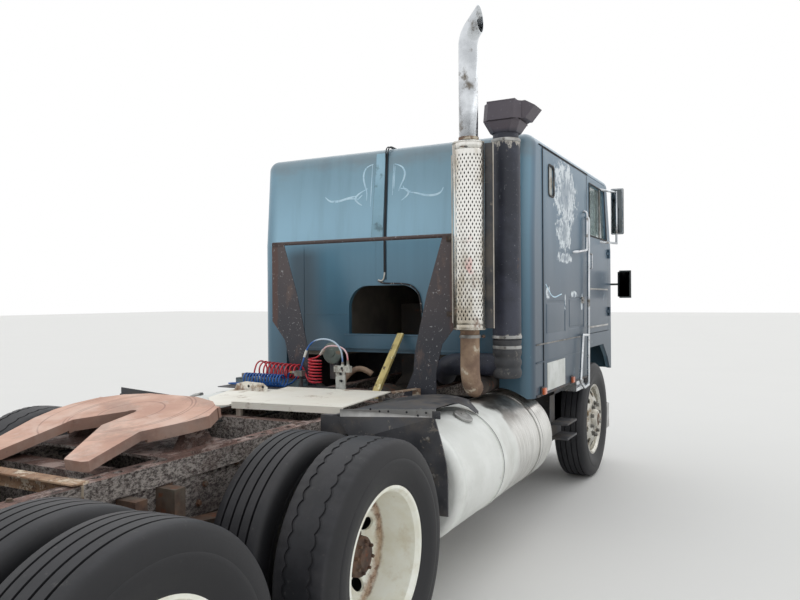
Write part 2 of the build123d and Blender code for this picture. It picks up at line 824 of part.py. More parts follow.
def gladhands():
    """The coupling at the end of each hose."""
    red = bar((905, 2420, 1085), (955, 2420, 1085), 13) + block((950, 1010), (2390, 2450), (1068, 1096))
    blue = bar((440, 2566, 1134), (405, 2566, 1134), 13) + block((345, 410), (2540, 2588), (1112, 1150))
    return [red, blue]


# The cab

def cab_form(inset):
    """The cab's outer form, or with an inset the space inside its walls; open below."""
    low = NOSE_LOW - inset
    outline = [
        (CAB_REAR - inset, low),
        (CAB_REAR - inset, CREASE),
        (CAB_REAR - REAR_LEAN - inset, ROOF - inset),
        (BROW_Y + inset, ROOF - inset),
        (CAB_FRONT + inset, COWL),
        (CAB_FRONT + inset, low),
    ]
    half = CAB_HALF - inset
    form = plate_x(outline, (-half, half))
    across = form.edges().filter_by(Axis.X)
    rounded = [edge for edge in across if edge.center().Z > ROOF - inset - 1]
    rounded += [
        edge
        for edge in form.edges()
        if edge not in across and abs(abs(edge.center().X) - half) < 1 and edge.center().Z > low + 1
    ]
    return fillet(rounded, CORNER - inset)


def cab_zones():
    """The shell of the cab, split where its panels meet."""
    shell = cab_form(0) - cab_form(WALL)
    skirt_cut = block((-FAR, FAR), (CAB_FRONT + 110, FAR), (0, SKIRT))
    corner_cut = block((CAB_HALF - 170, FAR), (-FAR, 0), (0, SKIRT - 9))
    outline = [
        (420, 900),
        (420, 1040),
        (300, ARCH_TOP),
        (-350, ARCH_TOP),
        (-547, 1071),
        (-655, 946),
        (-660, 900),
    ]
    arch = plate_x(outline, (-FAR, FAR))
    shell = shell - skirt_cut - corner_cut - other_side(corner_cut) - arch
    outline = [(-FAR, 0), (PILLAR_Y, 0), (PILLAR_Y, COWL), (PILLAR_TOP_Y, ROOF_SEAM), (-FAR, ROOF_SEAM)]
    front = plate_x(outline, (-FAR, FAR))
    roof = block((-FAR, FAR), (-FAR, FAR), (ROOF_SEAM, FAR))
    rear = block((-FAR, FAR), (REAR_SEAM, FAR), (0, ROOF_SEAM))
    zones = {"front": shell & front, "roof": shell & roof, "rear": shell & rear}
    zones["sides"] = shell - front - roof - rear
    return zones


def door_outline(gap):
    return [
        (PILLAR_Y + gap, DOOR_LOW + gap),
        (PILLAR_Y + gap, COWL),
        (PILLAR_TOP_Y + gap, ROOF_SEAM - gap),
        (DOOR_REAR - gap, ROOF_SEAM - gap),
        (DOOR_REAR - gap, DOOR_LOW + gap),
    ]


def door_window(gap):
    top = ROOF_SEAM - GLASS_DROP
    return [
        (GLASS_FRONT + gap, DOOR_SILL + gap),
        (GLASS_FRONT + GLASS_LEAN + gap, top - gap),
        (GLASS_REAR - gap, top - gap),
        (GLASS_REAR - gap, DOOR_SILL + gap),
    ]


def small_window(x, gap):
    """The sleeper's side window, or with a gap the pane that fits in it."""
    top = ROOF_SEAM - SMALL_WINDOW_DROP
    y = (SMALL_WINDOW_Y[0] + gap, SMALL_WINDOW_Y[1] - gap)
    return block(x, y, (top - SMALL_WINDOW_TALL + gap, top - gap))


def hinge(first, last, radius, bore=0):
    """A door hinge's barrel between two heights, on the left side."""
    x = CAB_HALF + HINGE_OUT
    y = PILLAR_Y + DOOR_GAP / 2
    barrel = bar((x, y, first), (x, y, last), radius)
    return barrel - bar((x, y, first - 1), (x, y, last + 1), bore) if bore else barrel


def hinge_leaf(y, z):
    return block((CAB_HALF - 2, CAB_HALF + HINGE_OUT - 4), y, z)


def pillar_hinges():
    """Each hinge's two outer knuckles with their leaf and pin."""
    made = []
    axis_y = PILLAR_Y + DOOR_GAP / 2
    for z in HINGE_Z:
        for low in (z, z + 2 * HINGE_KNUCKLE):
            made.append(hinge(low, low + HINGE_KNUCKLE, HINGE_R))
            made.append(hinge_leaf((axis_y - 60, axis_y - 4), (low, low + HINGE_KNUCKLE)))
        made.append(hinge_leaf((axis_y - 60, axis_y - 16), (z, z + 3 * HINGE_KNUCKLE)))
        made.append(hinge(z, z + 3 * HINGE_KNUCKLE, HINGE_PIN_R))
    return made


def door_hinges():
    """Each hinge's middle knuckle with its leaf."""
    made = []
    axis_y = PILLAR_Y + DOOR_GAP / 2
    for z in HINGE_Z:
        middle = (z + HINGE_KNUCKLE + 1, z + 2 * HINGE_KNUCKLE - 1)
        made.append(hinge(*middle, HINGE_R) + hinge_leaf((axis_y + 4, axis_y + 60), middle))
    bores = [hinge(z - 50, z + 150, HINGE_PIN_R + RUNNING_GAP) for z in HINGE_Z]
    return made, bores


def cab_rear(panel):
    panel -= block((-930, 930), (REAR_SEAM - 10, CAB_REAR + 10), (0, REAR_LOW))
    for side in SIDES.values():
        panel -= bar((side * TANK_X, 1000, TANK_Z), (side * TANK_X, 3000, TANK_Z), TANK_R + 40)
    mouth_y = (REAR_SEAM - 10, CAB_REAR + 10)
    opening = block((-MOUTH_HALF, MOUTH_HALF), mouth_y, (MOUTH_LOW, MOUTH_LOW + MOUTH_TALL))
    panel -= fillet(opening.edges().filter_by(Axis.Y).group_by(Axis.Z)[-1], MOUTH_CORNER)
    wide = MOUTH_HALF + 25
    sill = block((-wide, wide), (CAB_REAR, CAB_REAR + 28), (MOUTH_LOW - 113, MOUTH_LOW - 3))
    strip = block((0, 67), (CAB_REAR, CAB_REAR + 8), (1810, CREASE))
    return fused([panel, sill, strip])


def cab_front(panel):
    panes = windscreen_panes(0)
    for pane in panes:
        panel -= pane
    grille = block((-430, 430), (CAB_FRONT - 10, CAB_FRONT + WALL + 10), (840, 1560))
    knuckle = block((500, 545), (CAB_PIVOT[0] - 62, CAB_PIVOT[0]), (CAB_PIVOT[1] + 20, CAB_PIVOT[1] + 90))
    knuckle += bar((500, *CAB_PIVOT), (545, *CAB_PIVOT), 34)
    knuckle -= bar((490, *CAB_PIVOT), (600, *CAB_PIVOT), PIVOT_R + RUNNING_GAP)
    hinges = [side for piece in pillar_hinges() for side in both(piece)]
    return fused([panel - grille, *both(knuckle), *hinges])


def windscreen_panes(gap):
    """Two panes along the leaning upper front, either side of a centre post."""
    slope = math.atan2(BROW_Y - CAB_FRONT, ROOF - COWL)
    middle = Pos(0, CAB_FRONT + PANE_SILL * math.sin(slope), COWL + PANE_SILL)
    middle *= Rot(-math.degrees(slope), 0, 0)
    thick = 200 if gap == 0 else GLASS_THICK
    tall = (ROOF_SEAM - PANE_DROP - COWL - PANE_SILL) / math.cos(slope)
    pane = block((PANE_X[0] + gap, PANE_X[1] - gap), (-thick / 2, thick / 2), (gap, tall - gap))
    depth = Pos(0, 0 if gap == 0 else 20, 0)
    return [middle * depth * side for side in both(pane)]


def cab_glass():
    panes = windscreen_panes(2)
    return panes + both(small_window((CAB_HALF - GLASS_INSET - GLASS_THICK, CAB_HALF - GLASS_INSET), 2))


def outside_cab(shape):
    """A fitting's part that stands outside the cab's skin."""
    return shape - cab_form(0)


def inside_cab(shape):
    """A piece trimmed to the space inside the cab's walls."""
    return shape & cab_form(WALL)


def cab_sides(panel):
    for side in SIDES.values():
        panel -= bar((side * TANK_X, 1000, TANK_Z), (side * TANK_X, 3000, TANK_Z), TANK_R + 40)
    return panel - plate_x(door_outline(0), (-FAR, FAR)) - small_window((-FAR, FAR), 0)


def door(side):
    slab = cab_form(0) - cab_form(WALL)
    slab &= plate_x(door_outline(DOOR_GAP), (0, FAR))
    slab -= plate_x(door_window(0), (0, FAR))
    knuckles, bores = door_hinges()
    slab = fused([slab, *knuckles])
    for bore in bores:
        slab -= bore
    return slab if side > 0 else other_side(slab)


def door_glass(side):
    pane = plate_x(door_window(1), (CAB_HALF - GLASS_INSET - GLASS_THICK, CAB_HALF - GLASS_INSET))
    return pane if side > 0 else other_side(pane)


def door_mirror(side):
    top = ROOF_SEAM - MIRROR_DROP
    head = block((1215, 1330), (-560, -535), (top - MIRROR_TALL, top))
    heights = [ROOF_SEAM - drop for drop in MIRROR_ARM_DROPS]
    arms = [outside_cab(bar((CAB_HALF - 20, -200, z), (1270, -535, z), 11)) for z in heights]
    post = bar((1270, -523, min(heights)), (1270, -523, max(heights) + 12), 11)
    whole = fused([head, post, *arms])
    return whole if side > 0 else other_side(whole)


def corner_mirrors():
    head = block((1255, 1370), (-745, -725), (1660, 1940))
    arm = outside_cab(bar((1100, -735, 1800), (1260, -735, 1800), 10))
    return both(head + arm)


def cab_floor():
    """The floor pans, the tunnel over the engine and the bunk's base."""
    low = FLOOR - FLOOR_THICK
    inner = CAB_HALF - WALL
    long = (CAB_FRONT + WALL, CAB_REAR - WALL)
    pan = block((TUNNEL_HALF - SHEET, inner), long, (low, FLOOR))
    cheek = block((TUNNEL_HALF - SHEET, TUNNEL_HALF), long, (low, TUNNEL_TOP))
    top = block((-TUNNEL_HALF, TUNNEL_HALF), long, (TUNNEL_TOP - SHEET, TUNNEL_TOP))
    bunk = block((-inner, inner), (BUNK_FRONT, CAB_REAR - WALL), (TUNNEL_TOP, TUNNEL_TOP + SHEET))
    riser = block((TUNNEL_HALF, inner), (BUNK_FRONT, BUNK_FRONT + SHEET), (FLOOR, TUNNEL_TOP))
    return inside_cab(fused([top, bunk, *both(pan + cheek), *both(riser)]))


def seats_and_mattress():
    inner = CAB_HALF - WALL - 20
    long = (BUNK_FRONT + 10, CAB_REAR - WALL - 50)
    whole = [block((-inner, inner), long, (TUNNEL_TOP + SHEET, TUNNEL_TOP + 150))]
    for x in (-SEAT_X, SEAT_X):
        base = block((x - 190, x + 190), (-30, 380), (FLOOR, SEAT_TOP - 130))
        cushion = block((x - 250, x + 250), (-60, 440), (SEAT_TOP - 130, SEAT_TOP))
        head = SEAT_TOP + 630
        back = plate_x([(390, SEAT_TOP), (440, SEAT_TOP), (560, head), (470, head)], (x - 240, x + 240))
        whole.append(fused([base, cushion, back]))
    return whole


def dashboard():
    """The dash across the cab and the steering column, which stands on the floor."""
    low = TUNNEL_TOP + 10
    outline = [(-770, low), (-430, low), (-410, COWL - 220), (-540, COWL - 80), (-770, COWL - 50)]
    dash = inside_cab(plate_x(outline, (-CAB_HALF, CAB_HALF)))
    return [dash, steering_column()]


def column_plane():
    along = Vector(*WHEEL_CENTRE) - Vector(*COLUMN_FOOT)
    return Plane(origin=WHEEL_CENTRE, z_dir=along), along.length


def steering_column():
    plane, length = column_plane()
    column = plane * (Pos(0, 0, -(length + 25) / 2) * Cylinder(24, length - 25))
    tip = plane * (Pos(0, 0, -20) * Cylinder(12, 40))
    column = column & block((600, 960), (-800, 0), (FLOOR, 3000))
    return column + tip


def steering_wheel():
    plane, _ = column_plane()
    hub = Pos(0, 0, 5) * Cylinder(45, 50) - Pos(0, 0, -10) * Cylinder(12 + RUNNING_GAP, 22)
    rim = Torus(255, 15)
    spokes = [Rot(0, 0, angle) * (Pos(145, 0, 0) * Box(210, 26, 10)) for angle in (0, 120, 240)]
    return plane * fused([hub, rim, *spokes])


def grille():
    frame = block((-430, 430), (CAB_FRONT - 12, CAB_FRONT + 20), (840, 1560))
    frame -= block((-405, 405), (CAB_FRONT - 20, CAB_FRONT + 30), (865, 1535))
    deep = (CAB_FRONT - 4, CAB_FRONT + 14)
    bars = [block((-406, 406), deep, (z - 9, z + 9)) for z in range(905, 1520, 50)]
    return fused([frame, *bars])


def cab_lamps():
    """Twin headlamps on each side and five marker lamps along the brow."""
    case = block((560, 960), (CAB_FRONT - 25, CAB_FRONT), (900, 1090))
    lenses = [bar((x, CAB_FRONT - 40, 995), (x, CAB_FRONT - 25, 995), 78) for x in (660, 860)]
    markers = [Pos(x, -470, ROOF + 12) * Box(110, 60, 24) for x in (-800, -180, 0, 180, 800)]
    return both(fused([case, *lenses])) + markers


def steps_and_handles():
    """The step in the skirt, the tall rail on it, the bent rail above and the low rail round the latch."""
    x = CAB_HALF + HANDLE_OUT
    root = CAB_HALF - 20
    step = block((STEP_INNER_X, CAB_HALF + 5), (STEP_FRONT, STEP_REAR), (STEP_LOW, SKIRT))
    tall = [(root, 414, 2381), (x, 414, 2381), (x, 455, 900), (root, 455, 900)]
    bracket = block((root + 14, CAB_HALF + 5), (440, STEP_FRONT + 1), (888, 912))
    short = [(root, 480, 2420), (x, 480, 2420), (x, 500, 2080), (x, 860, 2045), (root, 860, 2045)]
    low = [(x, 447, 1336), (x, 648, 1347), (x, 742, 952), (x, 603, 891), (x, 455, 902)]
    rails = [outside_cab(pipe(tall, 30, HANDLE_R)), pipe(low, 25, HANDLE_R)]
    return both(fused([*rails, bracket, step])) + both(outside_cab(pipe(short, 30, HANDLE_R)))


# Wheels

def tyre(x):
    """A tyre standing at x, its axle along X through the origin."""
    outline = [
        (-LIP_HALF + 12, RIM_R),
        (-LIP_HALF - 2, LIP_R + 6),
        (-TYRE_HALF, 420),
        (-TYRE_HALF + 8, 480),
        (-TREAD_HALF, TYRE_R - 6),
        (-TREAD_HALF + 18, TYRE_R),
        (TREAD_HALF - 18, TYRE_R),
        (TREAD_HALF, TYRE_R - 6),
        (TYRE_HALF - 8, 480),
        (TYRE_HALF, 420),
        (LIP_HALF + 2, LIP_R + 6),
        (LIP_HALF - 12, RIM_R),
    ]
    face = make_face(Polyline([(x + a, 0, r) for a, r in outline], close=True))
    return revolve(face, Axis.X)


def turned(outline, x):
    """A form turned about the X axis; outline is (offset along x, radius) points."""
    face = make_face(Polyline([(x + a, 0, r) for a, r in outline], close=True))
    return revolve(face, Axis.X)


def rim_barrel(x):
    lip = LIP_HALF
    outline = [
        (-lip, LIP_R),
        (-lip + 12, RIM_R),
        (lip - 12, RIM_R),
        (lip, LIP_R),
        (lip, LIP_R - 14),
        (lip - 20, RIM_R - 16),
        (-lip + 20, RIM_R - 16),
        (-lip, LIP_R - 14),
    ]
    return turned(outline, x)


def steer_rim():
    barrel = rim_barrel(STEER_X)
    deep = RIM_R - 10
    disc = turned([(118, 90), (118, 175), (60, deep), (50, deep), (106, 172), (106, 90)], STEER_X)
    outline = [(-60, 45), (-60, 110), (106, 110), (150, 80), (160, 20), (160, 0), (20, 0), (20, 45)]
    hub = turned(outline, STEER_X)
    drum = turned([(-95, 185), (-95, 205), (20, 205), (20, 100), (10, 100), (10, 185)], STEER_X)
    hole = bar((STEER_X, 0, 232), (STEER_X + 200, 0, 232), 30)
    for number in range(10):
        disc -= Rot(number * 36, 0, 0) * hole
    return fused([barrel, disc, hub, drum])


def drive_rims():
    outer = DRIVE_OUTER_X
    inner = DRIVE_OUTER_X - DUAL_SPACING
    middle = (outer + inner) / 2
    barrels = [rim_barrel(outer), rim_barrel(inner)]
    deep = RIM_R - 8
    disc = turned([(0, 100), (0, 190), (70, deep), (82, deep), (12, 188), (12, 100)], middle)
    mate = turned([(0, 100), (0, 190), (-70, deep), (-82, deep), (-12, 188), (-12, 100)], middle)
    hole = bar((inner, 0, 232), (outer, 0, 232), 32)
    for number in range(5):
        disc -= Rot(number * 72, 0, 0) * hole
        mate -= Rot(number * 72, 0, 0) * hole
    outline = [(-170, 72), (-170, 120), (60, 120), (60, 85), (150, 75), (150, 0), (-140, 0), (-140, 72)]
    hub = turned(outline, middle)
    drum = turned([(-230, 190), (-230, 212), (-12, 212), (-12, 110), (-24, 110), (-24, 190)], middle)
    return fused([*barrels, disc, mate, hub, drum])


def knuckle():
    lugs = [bar((KINGPIN_X, 0, low), (KINGPIN_X, 0, low + 50), 50) for low in (404.5, 600.5)]
    pin = bar((KINGPIN_X, 0, 404.5), (KINGPIN_X, 0, 650.5), KINGPIN_R)
    web = block((KINGPIN_X + 52, KINGPIN_X + 75), (-50, 50), (404.5, 650.5))
    ears = [block((KINGPIN_X, KINGPIN_X + 60), (-45, 45), (low, low + 50)) for low in (404.5, 600.5)]
    spindle = bar((KINGPIN_X + 70, 0, TYRE_R), (STEER_X + 15, 0, TYRE_R), 40)
    return fused([*lugs, pin, web, *ears, spindle])


def wheel_at(shape, y, side):
    placed = Pos(0, y, TYRE_R) * shape
    return placed if side > 0 else other_side(placed)


def write(node, shapes):
    shapes = shapes if isinstance(shapes, list) else [shapes]
    solids = [solid for shape in shapes for solid in shape.solids()]
    placed = [Pos(0, -MIDDLE_Y, 0) * solid for solid in solids]
    export_step(Compound(placed), f"parts/{node}.step")


os.makedirs("parts", exist_ok=True)

panels = cab_zones()
pieces = {
    "frame_rails": both(frame_rail()),
    "crossmembers": crossmembers(),
    "front_bumper": bumper(),
    "engine": engine(),
    "radiator": radiator(),
    "front_axle": front_axle(),
    "leaf_springs": leaf_springs(),
    "drive_axles": drive_axles(),
    "fuel_tanks": both(fuel_tank()),
    "tank_straps": [strap for one in tank_straps() for strap in both(one)],
    "fenders_and_flaps": [
        quarter_fender() + fender_sheet(),
        other_side(quarter_fender()),
        *mud_flaps(),
    ],
    "deck_plate": [deck_plate(), hose_tray(), side_step()],
    "stack_frame": stack_frame(),
    "exhaust": exhaust(),
    "heat_shield": heat_shield(),
    "air_intake": air_intake(),
    "fifth_wheel_base": fifth_wheel_base(),
    "fifth_wheel_plate": fifth_wheel_plate(),
    "tail_lamps": tail_lamps(),
    "air_tanks": air_tanks(),
    "battery_box": battery_box(),
    "air_manifold": air_manifold(),
    "cab_prop_arm": cab_prop_arm(),
    "hose_red": hose_red(),
    "hose_blue": hose_blue(),
    "gladhands": gladhands(),
    "cab_floor": cab_floor(),
    "cab_rear": cab_rear(panels["rear"]),
    "cab_front": cab_front(panels["front"]),
    "cab_roof": panels["roof"],
    "cab_sides": cab_sides(panels["sides"]),
    "cab_glass": cab_glass(),
    "seats_and_mattress": seats_and_mattress(),
    "dashboard": dashboard(),
    "steering_wheel": steering_wheel(),
    "grille": grille(),
    "cab_lamps": cab_lamps(),
    "steps_and_handles": steps_and_handles(),
    "corner_mirrors": corner_mirrors(),
}
for name, side in SIDES.items():
    pieces[f"door_{name}"] = door(side)
    pieces[f"door_glass_{name}"] = door_glass(side)
    pieces[f"door_mirror_{name}"] = door_mirror(side)
    pieces[f"knuckle_{name}"] = knuckle() if side > 0 else other_side(knuckle())
    pieces[f"tyre_front_{name}"] = wheel_at(tyre(STEER_X), 0, side)
    pieces[f"rim_front_{name}"] = wheel_at(steer_rim(), 0, side)
    for axle, y in AXLE_Y.items():
        twins = [tyre(DRIVE_OUTER_X), tyre(DRIVE_OUTER_X - DUAL_SPACING)]
        pieces[f"tyres_{axle}_{name}"] = [wheel_at(twin, y, side) for twin in twins]
        pieces[f"rims_{axle}_{name}"] = wheel_at(drive_rims(), y, side)

for name, shapes in pieces.items():
    write(name, shapes)
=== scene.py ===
import json
import math

import bmesh
import bpy
from mathutils import Matrix, Vector

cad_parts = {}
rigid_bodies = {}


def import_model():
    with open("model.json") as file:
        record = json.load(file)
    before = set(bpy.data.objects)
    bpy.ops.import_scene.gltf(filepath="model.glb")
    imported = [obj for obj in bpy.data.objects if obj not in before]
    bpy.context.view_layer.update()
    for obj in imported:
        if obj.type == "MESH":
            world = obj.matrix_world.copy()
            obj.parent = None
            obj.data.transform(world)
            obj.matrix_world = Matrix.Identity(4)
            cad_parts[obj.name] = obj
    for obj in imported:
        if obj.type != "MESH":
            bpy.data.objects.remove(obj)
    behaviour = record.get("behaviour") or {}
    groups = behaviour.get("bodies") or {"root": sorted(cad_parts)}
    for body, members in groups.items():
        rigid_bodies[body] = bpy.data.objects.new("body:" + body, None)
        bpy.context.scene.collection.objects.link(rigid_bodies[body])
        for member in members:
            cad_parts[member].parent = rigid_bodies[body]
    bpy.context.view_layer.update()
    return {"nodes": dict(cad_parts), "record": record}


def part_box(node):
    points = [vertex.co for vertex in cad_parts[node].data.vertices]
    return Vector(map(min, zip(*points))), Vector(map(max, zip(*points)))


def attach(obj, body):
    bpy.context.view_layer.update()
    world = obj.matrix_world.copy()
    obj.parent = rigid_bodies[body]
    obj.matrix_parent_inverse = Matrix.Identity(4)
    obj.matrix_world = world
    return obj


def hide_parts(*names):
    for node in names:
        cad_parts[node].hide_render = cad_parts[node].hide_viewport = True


bl_info = {
    "name": "Sleeper Tractor",
    "version": (1, 0, 0),
    "blender": (4, 5, 0),
    "location": "View3D > Sidebar > Tractor",
    "description": "A worn cab-over tractor unit, built round its packed frame",
    "category": "Add Mesh",
}

for leftover in list(bpy.data.objects):
    bpy.data.objects.remove(leftover)
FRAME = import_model()

# Places taken from the frame, in metres. X is across, Y runs rearwards, Z is up.
SIDES = {"right": -1, "left": 1}
DRIVEN = ("drive1", "drive2")
TYRE_LOW, TYRE_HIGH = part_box("tyre_front_right")
STEER_Y = (TYRE_LOW.y + TYRE_HIGH.y) / 2
TYRE_R = (TYRE_HIGH.z - TYRE_LOW.z) / 2
TYRE_HALF = (TYRE_HIGH.x - TYRE_LOW.x) / 2
CAB_LOW, CAB_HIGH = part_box("cab_sides")
CAB_HALF = CAB_HIGH.x
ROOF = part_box("cab_roof")[1].z
REAR_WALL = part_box("cab_rear")[1].y - 0.028
STACK_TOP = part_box("stack_frame")[1].z
CREASE = 2.116
REAR_LEAN = 0.055
JAW = next(mount for mount in FRAME["record"]["mounts"] if mount["name"] == "kingpin_jaw")["pos_m"]


def placed(x, y, z):
    """A point given from the steer axle, as the frame has it."""
    return Vector((x, y + STEER_Y, z))


def shade(red, green, blue):
    """A paint tone from the 0 to 255 steps of a colour picker, as the linear values that shaders use."""
    steps = (red / 255, green / 255, blue / 255)
    return tuple(s / 12.92 if s < 0.04045 else ((s + 0.055) / 1.055) ** 2.4 for s in steps)


# Settings

def tone(name, description, *steps):
    return bpy.props.FloatVectorProperty(
        name=name, description=description, subtype="COLOR", size=3, min=0, max=1, default=shade(*steps)
    )


def length(name, description, default):
    return bpy.props.FloatProperty(name=name, description=description, unit="LENGTH", default=default)


def count(name, description, low, high, default):
    return bpy.props.IntProperty(name=name, description=description, min=low, max=high, default=default)


def strength(name, description, high, default):
    return bpy.props.FloatProperty(name=name, description=description, min=0, max=high, default=default)


class PaintSettings(bpy.types.PropertyGroup):
    # Faded blue is partly sun-bleached paint and partly a painted sky reflection; deep and low blue are
    # partly paint kept from the sun and partly painted shade under the crease, darker towards the foot.
    faded: tone("Faded blue", "The rear wall just over its crease, bleached by the sun", 150, 192, 213)
    weathered: tone("Weathered blue", "The rear wall under the roof", 122, 158, 175)
    deep: tone("Deep blue", "The rear wall under its crease, where the paint is kept", 96, 142, 165)
    low: tone("Low blue", "The foot of the rear wall", 66, 102, 122)
    flank: tone("Flank blue", "The upper half of the cab's sides", 94, 122, 142)
    flank_low: tone("Low flank blue", "The lower half of the cab's sides", 62, 80, 96)
    tank_edge: length("Tank paint edge", "Where the tanks' white half begins, from the steer axle", 2.5)


class WheelSettings(bpy.types.PropertyGroup):
    sides: count("Steps round", "Steps in a tyre's round", 24, 240, 120)
    lug_sides: count("Lugged steps round", "Steps in the round of a tyre with lugs", 48, 480, 260)
    scallops: count("Scallops", "Worn lugs round the outer tyres of the first driven axle", 20, 80, 52)
    groove_depth: length("Groove depth", "Depth of the grooves in the tread", 0.012)
    groove_width: length("Groove width", "Width of the grooves in the tread", 0.01)
    nuts: count("Nuts", "Nuts on each wheel", 4, 16, 10)


class HoseSettings(bpy.types.PropertyGroup):
    diameter: length("Diameter", "Diameter of the air hoses", 0.012)
    upright_turns: count("Upright turns", "Turns in the red coil that stands", 2, 20, 8)
    red_turns: count("Red turns", "Turns in the red coil that lies", 2, 20, 9)
    blue_turns: count("Blue turns", "Turns in the blue coil", 2, 24, 13)


class StageSettings(bpy.types.PropertyGroup):
    floor: tone("Floor", "Tone of the floor", 226, 224, 220)
    sky: strength("Sky", "Strength of the overcast light", 4, 0.9)
    sun: strength("Soft sun", "Strength of the light from above", 6, 0.7)


def settings(name):
    return getattr(bpy.context.scene, "tractor_" + name)


# Shaders

def arithmetic(operation, swapped=False):
    def act(self, other):
        pair = (other, self) if swapped else (self, other)
        return self.finish.math(operation, *pair)

    return act


class Value:
    """A shader socket. Arithmetic on a number socket adds Math nodes."""

    def __init__(self, finish, socket):
        self.finish = finish
        self.socket = socket

    __add__ = arithmetic("ADD")
    __radd__ = arithmetic("ADD", swapped=True)
    __sub__ = arithmetic("SUBTRACT")
    __rsub__ = arithmetic("SUBTRACT", swapped=True)
    __mul__ = arithmetic("MULTIPLY")
    __rmul__ = arithmetic("MULTIPLY", swapped=True)
    __truediv__ = arithmetic("DIVIDE")

    def __abs__(self):
        return self.finish.math("ABSOLUTE", self)



FINISHES = {}


class Finish:
    """A material, kept by name. Its methods add nodes, and wear() feeds its Principled shader."""

    def __init__(self, name):
        self.material = FINISHES[name] = bpy.data.materials.new(name)
        self.material.use_nodes = True
        self.tree = self.material.node_tree
        self.shader = self.tree.nodes["Principled BSDF"]
        self.place = self.node("ShaderNodeTexCoord", output="Object")

    def node(self, kind, options=(), sockets=(), output=0):
        made = self.tree.nodes.new(kind)
        for key, value in dict(options).items():
            setattr(made, key, value)
        for key, value in dict(sockets).items():
            self.feed(made.inputs[key], value)
        return Value(self, made.outputs[output])

    def feed(self, socket, value):
        if isinstance(value, Value):
            self.tree.links.new(value.socket, socket)
        elif hasattr(value, "__len__") and len(socket.default_value) == 4:
            socket.default_value = (*value[:3], 1)
        else:
            socket.default_value = value

    def math(self, operation, *values):
        return self.node("ShaderNodeMath", {"operation": operation}, dict(enumerate(values)))

    def axis(self, name):
        return self.node("ShaderNodeSeparateXYZ", (), {0: self.place}, output=name)

    def cloud(self, scale, detail=4, rough=0.55, stretch=(1, 1, 1), shift=0.0):
        mapping = {"Vector": self.place, "Location": (shift, shift, shift), "Scale": stretch}
        where = self.node("ShaderNodeMapping", (), mapping)
        noise = {"Vector": where, "Scale": scale, "Detail": detail, "Roughness": rough}
        return self.node("ShaderNodeTexNoise", (), noise)

    def over(self, value, edge, soft=0.03):
        """0 where the value is under the edge and 1 over it, with a soft step between."""
        return self.node(
            "ShaderNodeMapRange",
            {"interpolation_type": "SMOOTHSTEP"},
            {"Value": value, "From Min": edge - soft, "From Max": edge + soft},
        )

    def tint(self, share, one, two):
        return self.node("ShaderNodeMix", {"data_type": "RGBA"}, {0: share, 6: one, 7: two}, output=2)

    def relief(self, height, strength=0.3, distance=0.002):
        values = {"Height": height, "Strength": strength, "Distance": distance}
        return self.node("ShaderNodeBump", (), values)

    def spots(self, edge, soft, *cloud, **options):
        """Where a cloud passes the edge: its scale, detail, roughness, stretch and shift follow."""
        return self.over(self.cloud(*cloud, **options), edge, soft)

    def blend(self, share, one, two):
        """Starts the colour as two tones, each in the steps of a colour picker."""
        self.colour = self.tint(share, shade(*one), shade(*two))

    def lay(self, share, *steps):
        """Lays a tone over the colour so far."""
        self.colour = self.tint(share, self.colour, shade(*steps))

    def flecks(self, share, steps, edge, soft, *cloud, **options):
        """Lays a tone where a cloud passes the edge, and gives back where that is."""
        mask = self.spots(edge, soft, *cloud, **options)
        self.lay(mask * share, *steps)
        return mask

    def wear(self, rough, metal=0.0, normal=None, **fixed):
        self.feed(self.shader.inputs["Base Color"], self.colour)
        self.feed(self.shader.inputs["Roughness"], rough)
        self.feed(self.shader.inputs["Metallic"], metal)
        if normal is not None:
            self.feed(self.shader.inputs["Normal"], normal)
        for name, value in fixed.items():
            self.shader.inputs[name.replace("_", " ").title().replace("Ior", "IOR")].default_value = value
        return self.material


def layered(name, one, two, drift, rough, layers=(), stretch=(1, 1, 1), metal=0.0,
            grain=(90, 0.25, 0.0015)):
    """A finish that drifts between two tones under layers of wear.

    Each layer is (tone, scale, edge, soft, roughness, metal): it shows where a cloud of that scale
    passes the edge. grain is the relief's scale, strength and depth.
    """
    look = Finish(name)
    drifted = look.over(look.cloud(drift, stretch=stretch), 0.5, 0.16)
    look.blend(drifted, one, two)
    roughness = rough[0] + drifted * (rough[1] - rough[0])
    height = look.cloud(grain[0], 5)
    for number, (steps, scale, edge, soft, layer_rough, layer_metal) in enumerate(layers):
        mask = look.spots(edge, soft, scale, 8, 0.66, stretch, 3.7 * (number + 1))
        look.lay(mask, *steps)
        roughness = roughness + (layer_rough - roughness) * mask
        metal = metal + (layer_metal - metal) * mask
        height = height - mask * 0.6
    return look.wear(roughness, metal, look.relief(height, grain[1], grain[2]))


RUST = (112, 66, 44)
DARK_RUST = (66, 42, 33)


